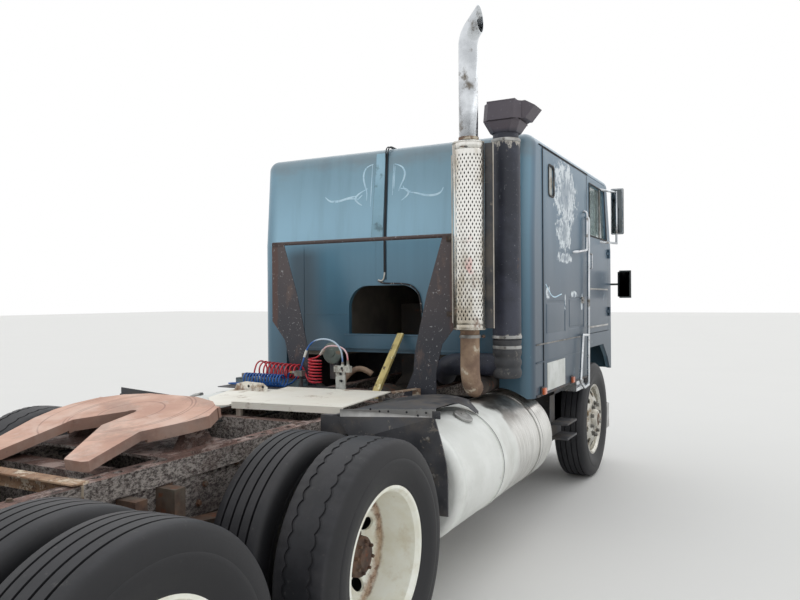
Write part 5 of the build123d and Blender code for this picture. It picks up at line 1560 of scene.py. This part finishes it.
class TRACTOR_OT_cab_sides(bpy.types.Operator):
    """The sleeper's sides: skins, trim strips, plates, lamps, latches and rivets"""

    bl_idname = "tractor.cab_sides"
    bl_label = "Cab sides"

    def execute(self, context):
        for side, sign in SIDES.items():
            hung(side_skin(side, sign), "cab", "cab_blue")
            skin = CAB_HALF + 0.005

            def out(low, high, name, finish, bevel=0.002):
                """A block on the side; x is counted out from the skin, y from the steer axle."""
                ends = [placed(sign * (skin + x), y, z) for x, y, z in (low, high)]
                return slab(name, *ends, finish, bevel)

            trims = [out((-0.001, 0.345, z - 0.005), (0.003, 1.885, z + 0.005), "trim", finish)
                     for z, finish in ((1.33, "steel_dull"), (1.2, "side_paint_plain"))]
            trims.append(out((-0.004, 0.338, 0.955), (0.004, 1.88, 0.972), "trim", "black_paint"))
            for y0, z0, y1, z1 in (
                (1.696, 0.972, 1.704, 2.763), (0.334, 2.759, 1.704, 2.765), (0.33, 0.972, 0.338, 2.763),
            ):
                trims.append(out((-0.002, y0, z0), (0.0012, y1, z1), "groove", "drip_black", 0.0004))
            ring, blind = window_rim(side, sign)
            hung(joined(f"side_trims_{side}", [*trims, ring]), "cab", "cab_trim")
            hung(blind, "cab", "cab_trim").name = f"side_blind_{side}"
            plate = out((-0.001, 1.12, 0.976), (0.004, 1.62, 1.183), "plate", "plate_white", 0.0015)
            hung(joined(f"side_plate_{side}", [plate]), "cab", "cab_trim")
            lamps = []
            for y in (1.741, 0.921):
                base = (0.0, y - 0.042, 0.958), (0.01, y + 0.042, 1.022)
                lens = (0.008, y - 0.034, 0.966), (0.028, y + 0.034, 1.014)
                lamps.append(out(*base, "lamp_base", "black_paint"))
                lamps.append(out(*lens, "lamp", "lens_amber", 0.006))
            hung(joined(f"side_lamps_{side}", lamps), "cab", "lamp_red")
            latch = [
                out((-0.001, 0.47, 1.615), (0.005, 0.56, 1.672), "latch", "steel_dull"),
                out((0.004, 0.485, 1.636), (0.016, 0.548, 1.651), "latch", "steel_dull", 0.004),
            ]
            hung(joined(f"side_latch_{side}", latch), "cab", "bright_metal")
            route = [placed(sign * (skin + 0.0006), y, z) for y, z in
                     ((1.644, 1.767), (1.56, 1.722), (1.487, 1.679), (1.39, 1.668), (1.29, 1.684),
                      (1.2, 1.695))]
            flourish = strand("flourish", route, 0.005, "scroll_white")
            for vertex in flourish.data.vertices:
                vertex.co.x = sign * skin + (vertex.co.x - sign * skin) * 0.2
            hung(flourish, "cab", "cab_trim").name = f"side_flourish_{side}"
            rivet = turned(
                "rivet", [(0, 0.0055), (0.0016, 0.005), (0.0028, 0.003)], (0, 0, 0), "X", "side_paint", 8
            )
            if sign < 0:
                rivet.data.transform(Matrix.Scale(-1, 4, (1, 0, 0)))
                rivet.data.flip_normals()
            places = [(y, z) for y in (0.352, 1.686) for z in [1.02 + 0.12 * n for n in range(15)]]
            places += [(0.43 + 0.125 * n, 2.748) for n in range(10)]
            places += [(0.43 + 0.125 * n, 1.265) for n in range(11)]
            matrices = [shift(sign * skin, y + STEER_Y, z) for y, z in places]
            hung(repeated(f"side_rivets_{side}", rivet, matrices), "cab", "cab_blue")
        return {"FINISHED"}


class TRACTOR_OT_doors(bpy.types.Operator):
    """The doors' window surrounds, vent bars, handles, trim lines and mirrors"""

    bl_idname = "tractor.doors"
    bl_label = "Doors"

    def execute(self, context):
        for side, sign in SIDES.items():
            body = f"door_{side}"
            coat(body, "side_paint_plain")
            coat(f"door_glass_{side}", "window_glass")
            coat(f"door_mirror_{side}", "chrome")
            x = sign * (CAB_HALF + 0.002)
            corners = [(-0.508, 2.232), (-0.392, 2.708), (0.228, 2.708), (0.228, 2.232)]
            route = [placed(x, y, z) for y, z in corners]
            seal = bent("seal", [*route, route[0], route[1]][:5], 0.007, 0.02, "rubber")
            bar = strand("vent_bar", [placed(x, -0.19, 2.24), placed(x, -0.19, 2.47), placed(x, -0.19, 2.7)],
                         0.008, "steel_dull")
            hung(joined(f"door_window_seal_{side}", [seal, bar]), body, "cab_trim")
            root, out = sign * (CAB_HALF - 0.004), sign * (CAB_HALF + 0.03)
            route = [placed(x, 0.255, z) for x, z in ((root, 2.06), (out, 2.06), (out, 1.93), (root, 1.93))]
            grip = bent("grip", route, 0.007, 0.012, "chrome")
            hung(grip, body, "bright_metal").name = f"door_grip_{side}"
            trims = []
            for z in (1.745, 1.395):
                low = placed(sign * (CAB_HALF - 0.002), -0.56, z - 0.008)
                high = placed(sign * (CAB_HALF + 0.006), 0.3, z + 0.008)
                trims.append(slab("door_trim", low, high, "aluminium", 0.003))
            lock = turned("lock", [(0, 0.016), (sign * 0.006, 0.016), (sign * 0.008, 0.01)],
                          placed(sign * (CAB_HALF - 0.001), 0.255, 1.865), "X", "steel_dull", sides=20)
            hung(joined(f"door_trims_{side}", [*trims, lock]), body, "bright_metal")
            hung(self.mirror(side, sign), body, "mirror_case")
        return {"FINISHED"}

    def mirror(self, side, sign):
        """The tall mirror's case, with its glass towards the driver."""
        (y0, y1), (z0, z1) = (-0.56, -0.535), (2.3, 2.75)
        x0, x1 = sign * 1.215, sign * 1.33
        back = slab("mirror_case", placed(x0 - sign * 0.004, y0 - 0.014, z0 - 0.004),
                    placed(x1 + sign * 0.004, y1, z1 + 0.004), "mirror_grey", 0.012, 4)
        face = slab("mirror_face", placed(x0 + sign * 0.008, y1 - 0.002, z0 + 0.01),
                    placed(x1 - sign * 0.008, y1 + 0.001, z1 - 0.01), "mirror_face", 0.001)
        return joined(f"mirror_head_{side}", [back, face])


# The chassis

TANK_RADIUS = 0.326


def tank_middle(sign):
    """A fuel tank's own line: x, 0, z."""
    low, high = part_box("fuel_tanks")
    return Vector((sign * (high.x - TANK_RADIUS), 0, low.z + TANK_RADIUS))


class TRACTOR_OT_tanks(bpy.types.Operator):
    """The fuel tanks, with their weld beads, straps and leaning caps"""

    bl_idname = "tractor.tanks"
    bl_label = "Fuel tanks"

    def execute(self, context):
        low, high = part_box("fuel_tanks")
        tanks = []
        for sign in SIDES.values():
            centre = tank_middle(sign)
            rings = [(low.y + 0.004, 0.05), (low.y + 0.006, TANK_RADIUS - 0.09)]
            rings += dome(low.y, TANK_RADIUS, 1)
            rings += [
                (low.y + 0.06, TANK_RADIUS), (low.y + 0.066, TANK_RADIUS + 0.0025),
                (low.y + 0.074, TANK_RADIUS)
            ]
            rings += [
                (low.y + (high.y - low.y) * part, TANK_RADIUS) for part in (0.33, 0.335, 0.5, 0.665, 0.67)
            ]
            rings += [
                (high.y - 0.074, TANK_RADIUS), (high.y - 0.066, TANK_RADIUS + 0.0025),
                (high.y - 0.06, TANK_RADIUS)
            ]
            rings += dome(high.y, TANK_RADIUS, -1)[::-1] + [
                (high.y - 0.006, TANK_RADIUS - 0.09), (high.y - 0.004, 0.05)
            ]
            tanks.append(turned("tank", rings, centre, "Y", "tank_skin", sides=96, smooth=30))
            top = centre + Vector((0, 2.92 + STEER_Y, TANK_RADIUS - 0.006))
            cap = turned("cap", [(0, 0.05), (0.01, 0.05), (0.011, 0.06), (0.022, 0.06), (0.026, 0.055),
                                 (0.028, 0.02), (0.034, 0.018),
                                 (0.035, 0.006)], top, "Z", "aluminium", sides=32)
            lean = Matrix.Rotation(sign * math.radians(24), 4, "Y")
            cap.data.transform(Matrix.Translation(centre) @ lean @ Matrix.Translation(-centre))
            tanks.append(cap)
        hung(joined("fuel_tank_shells", tanks), "chassis", "tank_metal", "fuel_tanks")
        coat("tank_straps", "strap_skin")
        return {"FINISHED"}


def dome(end, radius, way, reach=0.045, steps=5):
    """The rounded shoulder of a tank's end, from its face to its side."""
    return [
        (end + way * reach * (1 - math.cos(math.pi / 2 * step / steps)),
         radius - reach + reach * math.sin(math.pi / 2 * step / steps))
        for step in range(steps + 1)
    ]


def deck_rule(middle, facing):
    """A deck face's finish: 0 deck, 1 rusty strap, 2 dark tray, 3 the tray's pale ledge."""
    y = middle.y - STEER_Y
    if middle.x < -0.4 and y < 2.7:
        return 1
    if middle.x > 0.19 and y < (2.672 if middle.x < 0.42 else 2.705):
        return 3 if middle.z > 1.03 and y < 2.5 else 2
    return 0


def fender_rule(middle, facing):
    """A fender face's finish: 0 black sheet, 1 the bright strips of its edges."""
    y = middle.y - STEER_Y
    if 3.496 < y < 3.5055 and middle.z > 1.015 and middle.x < -0.55:
        return 1
    if y < 2.7365 and middle.z > 0.9:
        return 1
    return 0


class TRACTOR_OT_decks(bpy.types.Operator):
    """The deck, fenders and frame, with the bolts, holes and brackets on them"""

    bl_idname = "tractor.decks"
    bl_label = "Decks and fenders"

    def execute(self, context):
        recoated("deck_plate", "deck_sheets", "chassis", "deck_white",
                 ("deck_white", "elbow_rust", "flap_black", "ledge_blue"), deck_rule)
        recoated("fenders_and_flaps", "fender_sheets", "chassis", "chassis_black",
                 ("flap_black", "aluminium"), fender_rule)
        recoated("fifth_wheel_base", "coupler_base", "chassis", "coupler_rust", ("rail_steel", "beam_rust"),
                 lambda middle, facing: int(middle.y - STEER_Y > 5.02))
        # the face along from the steer axle, each dark disc's rings and sides, and the places on the face
        faces = (
            (3.5052, [(0, 0.0065), (0.0008, 0.006)], 12,
             ((-0.753, 1.075), (-0.809, 1.067), (-0.862, 1.07), (-0.971, 1.073), (-1.036, 1.06),
              (-1.083, 1.077))),
            (2.5462, [(0, 0.01), (0.001, 0.009)], 16, ((0.031, 1.179), (0.042, 1.139), (0.035, 1.089))),
            (2.8742, [(0, 0.01), (0.0008, 0.0095)], 16, ((0.469, 1.062), (0.593, 1.062))),
        )
        holes = [turned("hole", rings, placed(x, y, z), "Y", "drip_black", sides)
                 for y, rings, sides, places in faces for x, z in places]
        hung(joined("dark_holes", holes), "chassis", "chassis_black")
        corner = [
            slab("corner", placed(-1.166, 3.506, 1.05), placed(-1.12, 3.512, 1.09), "flap_black", 0.002),
            bolt("bolt", placed(-1.097, 3.515, 0.945), "Y", 0.009, 0.008),
            bolt("bolt", placed(-1.128, 3.515, 0.759), "Y", 0.009, 0.008),
        ]
        hung(joined("fender_bracket", corner), "chassis", "chassis_black")
        hung(self.frame_bolts(), "chassis", "chassis_black")
        hung(self.splash_panels(), "chassis", "chassis_black")
        hung(self.pipework(), "chassis", "engine_grey")
        return {"FINISHED"}

    def frame_bolts(self):
        """Huck bolts in pairs along the rails' webs and a row on the coupler's angles."""
        low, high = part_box("frame_rails")
        web = 0.43 + 0.0005
        made = []
        for sign in SIDES.values():
            head = bolt("head", (0, 0, 0), "X", 0.012, sign * 0.012, "hub_rust")
            places = [(3.58 + 0.21 * n, 0.905 if n % 2 else 0.85) for n in range(12)]
            places += [(3.62 + 0.42 * n, 0.775) for n in range(6)]
            matrices = [shift(sign * web, y + STEER_Y, z) for y, z in places]
            made.append(repeated("head", head, matrices))
            top = bolt("head", (0, 0, 0), "Z", 0.011, 0.01, "hub_rust")
            tops = [shift(sign * 0.372, y + STEER_Y, high.z) for y in (3.66, 3.92, 5.3, 5.62, 5.84)]
            made.append(repeated("head", top, tops))
        return joined("frame_bolts", made)

    def splash_panels(self):
        """Dark sheets, liners and steps before the tanks, and the disc beside the manifold."""
        made = []
        for side, sign in SIDES.items():
            liner_end = {"left": 1.64, "right": 0.9}[side]
            # name, across, along from the steer axle and height, each from and to, and the bevel
            sheets = [
                ("splash", (0.46, 1.028), (0.7, 0.706), (0.6, 1.19), 0.002),
                ("liner", (1.022, 1.028), (0.7, liner_end), (0.6, 1.19), 0.002),
                ("step", (0.96, 1.17), (0.72, 1.02), (0.62, 0.638), 0.004),
                ("step", (0.96, 1.17), (0.72, 1.02), (0.5, 0.518), 0.004),
                ("step_plate", (1.022, 1.028), (0.7, 1.04), (0.48, 0.86), 0.002),
            ]
            for name, xs, ys, zs, bevel in sheets:
                ends = [placed(sign * x, y, z) for x, y, z in zip(xs, ys, zs)]
                made.append(slab(name, *ends, "flap_black", bevel))
        rings = [(0, 0.07), (0.004, 0.078), (0.018, 0.078), (0.022, 0.07), (0.023, 0.03), (0.03, 0.026),
                 (0.031, 0.01)]
        made.append(turned("disc", rings, placed(0.2, 2.395, 1.272), "Y", "disc_green", 32))
        low, high = placed(0.17, 2.36, 1.08), placed(0.23, 2.394, 1.24)
        made.append(slab("disc_bracket", low, high, "flap_black", 0.003))
        return joined("splash_panels", made)

    def pipework(self):
        """Gearbox, drive shaft and brake chambers, all under grease."""
        rings = [(1.92, 0.21), (2.06, 0.205), (2.1, 0.17), (2.52, 0.155), (2.56, 0.11), (2.64, 0.06),
                 (2.7, 0.058)]
        made = [turned("gearbox", rings, (0, STEER_Y, 0.8), "Y", "engine_grease", sides=24)]
        rings = [(2.7, 0.048), (3.86, 0.048)]
        made.append(turned("shaft", rings, (0, STEER_Y, 0.79), "Y", "engine_grease", sides=20))
        rings = [(0, 0.05), (0.01, 0.078), (0.06, 0.082), (0.072, 0.088), (0.082, 0.088), (0.092, 0.08),
                 (0.15, 0.074), (0.165, 0.04)]
        for y in (4.115, 5.435):
            for sign in SIDES.values():
                place = placed(sign * 0.5, y - 0.26, 0.56) - Vector((0, 0.165, 0))
                made.append(turned("chamber", rings, place, "Y", "engine_grease", sides=24))
        for x in (-0.3, 0.3):
            heights = {1.9: 0.98, 2.4: 0.93, 3.1: 0.9, 3.6: 0.95, 4.6: 0.955}
            made.append(strand("line", [placed(x, y, z) for y, z in heights.items()], 0.008, "rubber"))
        points = ((0.2, 2.3, 1.02), (0.19, 2.22, 1.1), (0.1, 2.16, 1.16), (0.02, 2.14, 1.1))
        made.append(strand("pipe", [placed(*point) for point in points], 0.022, "elbow_rust"))
        return joined("drive_line", made)


class TRACTOR_OT_chassis(bpy.types.Operator):
    """Finishes for the frame, axles, springs, engine and everything bolted to them"""

    bl_idname = "tractor.chassis"
    bl_label = "Chassis"

    def execute(self, context):
        table = {
            "rail_steel": "frame_rails crossmembers",
            "aluminium": "front_bumper grille",
            "engine_grease": "engine drive_axles",
            "cast_grey": "radiator front_axle knuckle_right knuckle_left",
            "hub_rust": "leaf_springs",
            "stanchion_black": "stack_frame",
            "coupler_rust": "fifth_wheel_plate",
            "black_paint": "tail_lamps air_tanks battery_box",
            "manifold_white": "air_manifold",
            "arm_yellow": "cab_prop_arm",
            "steel_dull": "gladhands",
            "lining": "cab_floor",
            "window_glass": "cab_glass",
            "trim_plastic": "dashboard steering_wheel",
            "lens_clear": "cab_lamps",
            "chrome": "steps_and_handles",
            "mirror_grey": "corner_mirrors",
        }
        for finish, nodes in table.items():
            for node in nodes.split():
                coat(node, finish)
        return {"FINISHED"}


# The front and the inside

class TRACTOR_OT_front(bpy.types.Operator):
    """Lenses for the tail lamps, the windscreen's rubber, the wipers, the corner mirrors' heads and the
    grille's bars
    """

    bl_idname = "tractor.front"
    bl_label = "Front and lamps"

    def execute(self, context):
        low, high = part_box("tail_lamps")
        lenses = []
        for sign in SIDES.values():
            for x in (0.3, 0.37):
                place = (sign * x, high.y, (low.z + high.z) / 2)
                rings = [(-0.004, 0.03), (0.004, 0.03), (0.01, 0.024), (0.012, 0.006)]
                lenses.append(turned("lens", rings, place, "Y", "lens_red", sides=24))
        hung(joined("tail_lenses", lenses), "chassis", "lamp_red")
        low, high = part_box("cab_glass")
        rubber = []
        for sign in SIDES.values():
            corners = [(0.03, 2.2), (0.03, 2.68), (1.11, 2.68), (1.11, 2.2)]
            route = [(sign * x, low.y - 0.004 + (0.03 if x > 1 else 0), z) for x, z in corners]
            rubber.append(bent("rubber", [*route, route[0]], 0.011, 0.04, "rubber"))
            arm = [
                (sign * 0.3, low.y - 0.02, 2.14), (sign * 0.34, low.y - 0.03, 2.28),
                (sign * 0.4, low.y - 0.026, 2.48)
            ]
            rubber.append(strand("wiper", arm, 0.006, "black_paint"))
            blade = [(sign * (0.4 + 0.02 * n), low.y - 0.018, 2.3 + 0.12 * n) for n in range(4)]
            rubber.append(strand("blade", blade, 0.007, "black_paint"))
        hung(joined("windscreen_rubber", rubber), "cab", "cab_trim")
        low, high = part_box("corner_mirrors")
        mirrors = []
        for sign in SIDES.values():
            mirrors.append(slab("mirror", (sign * (high.x - 0.15), low.y - 0.004, low.z - 0.004),
                                (sign * (high.x + 0.004), high.y, high.z + 0.004), "mirror_grey", 0.009, 3))
        mirrors = joined("corner_mirror_heads", mirrors)
        for vertex in mirrors.data.vertices:
            off = Vector((abs(vertex.co.x) - high.x + 0.073, 0, vertex.co.z - (low.z + high.z) / 2))
            over = max(0.0, abs(off.x) / 0.077 + abs(off.z) / 0.144 - 1.72)
            vertex.co.x -= math.copysign(1, vertex.co.x) * math.copysign(over * 0.1, off.x)
            vertex.co.z -= math.copysign(over * 0.1, off.z)
        hung(mirrors, "cab", "mirror_case")
        low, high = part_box("grille")
        bars = [
            slab("bar", (low.x + 0.02, low.y - 0.008, low.z + 0.04 + 0.045 * n),
                 (high.x - 0.02, low.y + 0.004, low.z + 0.052 + 0.045 * n), "chrome", 0.003)
            for n in range(15)
        ]
        hung(joined("grille_bars", bars), "cab", "bright_metal")
        return {"FINISHED"}


def cushion(name, low, high, finish, round_by, limit=0.022):
    """A padded block: an eased one, swollen by pressure, held within the limit and smoothed."""
    piece = block(name, low, high)
    modify(piece, "BEVEL", width=round_by, segments=4)
    modify(piece, "REMESH", mode="VOXEL", voxel_size=0.022)
    start = [vertex.co.copy() for vertex in piece.data.vertices]
    take(piece)
    cloth = piece.modifiers.new("Cloth", "CLOTH")
    cloth.settings.use_pressure = True
    cloth.settings.uniform_pressure_force = 4
    cloth.settings.effector_weights.gravity = 0
    cloth.settings.quality = 5
    for frame in range(1, 21):
        bpy.context.scene.frame_set(frame)
    bpy.ops.object.modifier_apply(modifier=cloth.name)
    for vertex, rest in zip(piece.data.vertices, start):
        move = vertex.co - rest
        if move.length > limit:
            vertex.co = rest + move.normalized() * limit
        vertex.co.z = max(vertex.co.z, low[2])
    bpy.context.scene.frame_set(1)
    modify(piece, "SUBSURF", levels=1, render_levels=1)
    painted(settle(piece, 60), finish)
    return piece


class TRACTOR_OT_interior(bpy.types.Operator):
    """Two seats and the sleeper's mattress, as padding on their bases"""

    bl_idname = "tractor.interior"
    bl_label = "Interior"

    def execute(self, context):
        swell = 0.022
        for side, sign in SIDES.items():
            x = sign * 0.78
            base = slab(f"seat_base_{side}", placed(x - 0.19, -0.03, 1.245), placed(x + 0.19, 0.38, 1.478),
                        "trim_plastic", 0.01)
            hung(base, "cab", "cab_trim", "seats_and_mattress")
            pad = cushion(f"seat_cushion_{side}", placed(x - 0.25 + swell, -0.06 + swell, 1.48),
                          placed(x + 0.25 - swell, 0.44 - swell, 1.61 - swell), "seat_cloth", 0.035)
            hung(pad, "cab", "seat_cloth", "seats_and_mattress")
            back = cushion(f"seat_back_{side}", placed(x - 0.24 + swell, 0.39 + swell, 1.612),
                           placed(x + 0.24 - swell, 0.56 - swell, 2.24 - swell), "seat_cloth", 0.045)
            hung(back, "cab", "seat_cloth", "seats_and_mattress")
        bed = cushion("mattress", placed(-1.11 + swell, 1.11 + swell, 1.842),
                      placed(1.11 - swell, 1.885 - swell, 1.97 - swell),
                      "mattress_cloth", 0.04)
        hung(bed, "cab", "seat_cloth", "seats_and_mattress")
        return {"FINISHED"}


# The stage

# The camera as the vehicle was seen: place from the steer axle, and turns in radians
CAMERA_PLACE = (-2.688, 6.854, 1.663)
CAMERA_YAW = 0.4819
CAMERA_PITCH = -0.0012
CAMERA_ROLL = -0.0068
FOCAL_PIXELS = 721.7
PICTURE_WIDTH = 800
SENSOR = 36


class TRACTOR_OT_stage(bpy.types.Operator):
    """A pale floor, an overcast light and the camera"""

    bl_idname = "tractor.stage"
    bl_label = "Stage"

    def execute(self, context):
        stage = settings("stage")
        deselect()
        bpy.ops.mesh.primitive_plane_add(size=160, location=(0, 0, 0))
        floor = bpy.context.object
        floor.name = "floor"
        finish = Finish("floor_pale")
        clouds = finish.cloud(0.6, 5)
        tone = tuple(stage.floor)
        finish.colour = finish.tint(clouds * 0.3, tone, tuple(part * 0.9 for part in tone))
        floor.data.materials.append(finish.wear(0.9, 0.0, finish.relief(finish.cloud(40, 4), 0.1, 0.002)))
        world = bpy.data.worlds.new("overcast")
        world.use_nodes = True
        tree = world.node_tree
        back = tree.nodes["Background"]
        back.inputs["Color"].default_value = (0.94, 0.97, 1.0, 1)
        back.inputs["Strength"].default_value = stage.sky
        ray = tree.nodes.new("ShaderNodeLightPath")
        seen = ray.outputs["Is Camera Ray"]
        for kind in ("Is Glossy Ray", "Is Transmission Ray"):
            either = tree.nodes.new("ShaderNodeMath")
            either.operation = "MAXIMUM"
            tree.links.new(seen, either.inputs[0])
            tree.links.new(ray.outputs[kind], either.inputs[1])
            seen = either.outputs[0]
        plain = tree.nodes.new("ShaderNodeBackground")
        plain.inputs["Color"].default_value = (1, 1, 1, 1)
        choice = tree.nodes.new("ShaderNodeMixShader")
        for number, source in enumerate((seen, back.outputs[0], plain.outputs[0])):
            tree.links.new(source, choice.inputs[number])
        tree.links.new(choice.outputs[0], tree.nodes["World Output"].inputs["Surface"])
        context.scene.world = world
        bpy.ops.object.light_add(type="SUN", rotation=(math.radians(32), math.radians(-18), math.radians(25)))
        sun = bpy.context.object
        sun.data.energy = stage.sun
        sun.data.angle = math.radians(70)
        bpy.ops.object.camera_add()
        camera = bpy.context.object
        camera.data.sensor_width = SENSOR
        camera.data.lens = FOCAL_PIXELS / PICTURE_WIDTH * SENSOR
        camera.data.clip_end = 300
        forward = Vector((
            math.sin(CAMERA_YAW) * math.cos(CAMERA_PITCH), -math.cos(CAMERA_YAW) * math.cos(CAMERA_PITCH),
            math.sin(CAMERA_PITCH),
        ))
        right = forward.cross(Vector((0, 0, 1))).normalized()
        up = right.cross(forward)
        side = right * math.cos(CAMERA_ROLL) + up * math.sin(CAMERA_ROLL)
        top = up * math.cos(CAMERA_ROLL) - right * math.sin(CAMERA_ROLL)
        turn = Matrix((side, top, -forward)).transposed().to_4x4()
        camera.matrix_world = Matrix.Translation(placed(*CAMERA_PLACE)) @ turn
        context.scene.camera = camera
        context.scene.view_settings.view_transform = "Standard"
        return {"FINISHED"}


class TRACTOR_PT_panel(bpy.types.Panel):
    """Lists the settings and the pieces"""

    bl_idname = "TRACTOR_PT_panel"
    bl_label = "Sleeper Tractor"
    bl_space_type = "VIEW_3D"
    bl_region_type = "UI"
    bl_category = "Tractor"

    def draw(self, context):
        for name, group in SETTINGS.items():
            box = self.layout.box()
            for key in group.__annotations__:
                box.prop(settings(name), key)
        for operator in OPERATORS:
            self.layout.operator(operator.bl_idname)


SETTINGS = {"paint": PaintSettings, "wheels": WheelSettings, "hose": HoseSettings, "stage": StageSettings}
OPERATORS = [
    TRACTOR_OT_stage,
    TRACTOR_OT_hoses,
    TRACTOR_OT_chassis,
    TRACTOR_OT_tyres,
    TRACTOR_OT_wheel_fittings,
    TRACTOR_OT_heat_shield,
    TRACTOR_OT_exhaust,
    TRACTOR_OT_intake,
    TRACTOR_OT_cab_rear,
    TRACTOR_OT_cab_sides,
    TRACTOR_OT_doors,
    TRACTOR_OT_tanks,
    TRACTOR_OT_decks,
    TRACTOR_OT_front,
    TRACTOR_OT_interior,
]
CLASSES = [*SETTINGS.values(), *OPERATORS, TRACTOR_PT_panel]


def register():
    for made in CLASSES:
        bpy.utils.register_class(made)
    for name, group in SETTINGS.items():
        setattr(bpy.types.Scene, "tractor_" + name, bpy.props.PointerProperty(type=group))


def unregister():
    for name in SETTINGS:
        delattr(bpy.types.Scene, "tractor_" + name)
    for made in reversed(CLASSES):
        bpy.utils.unregister_class(made)


def corners(box):
    return [list(corner) for corner in box]


def main():
    register()
    make_finishes()
    for operator in OPERATORS:
        group, name = operator.bl_idname.split(".")
        getattr(getattr(bpy.ops, group), name)()


if __name__ == "__main__":
    main()
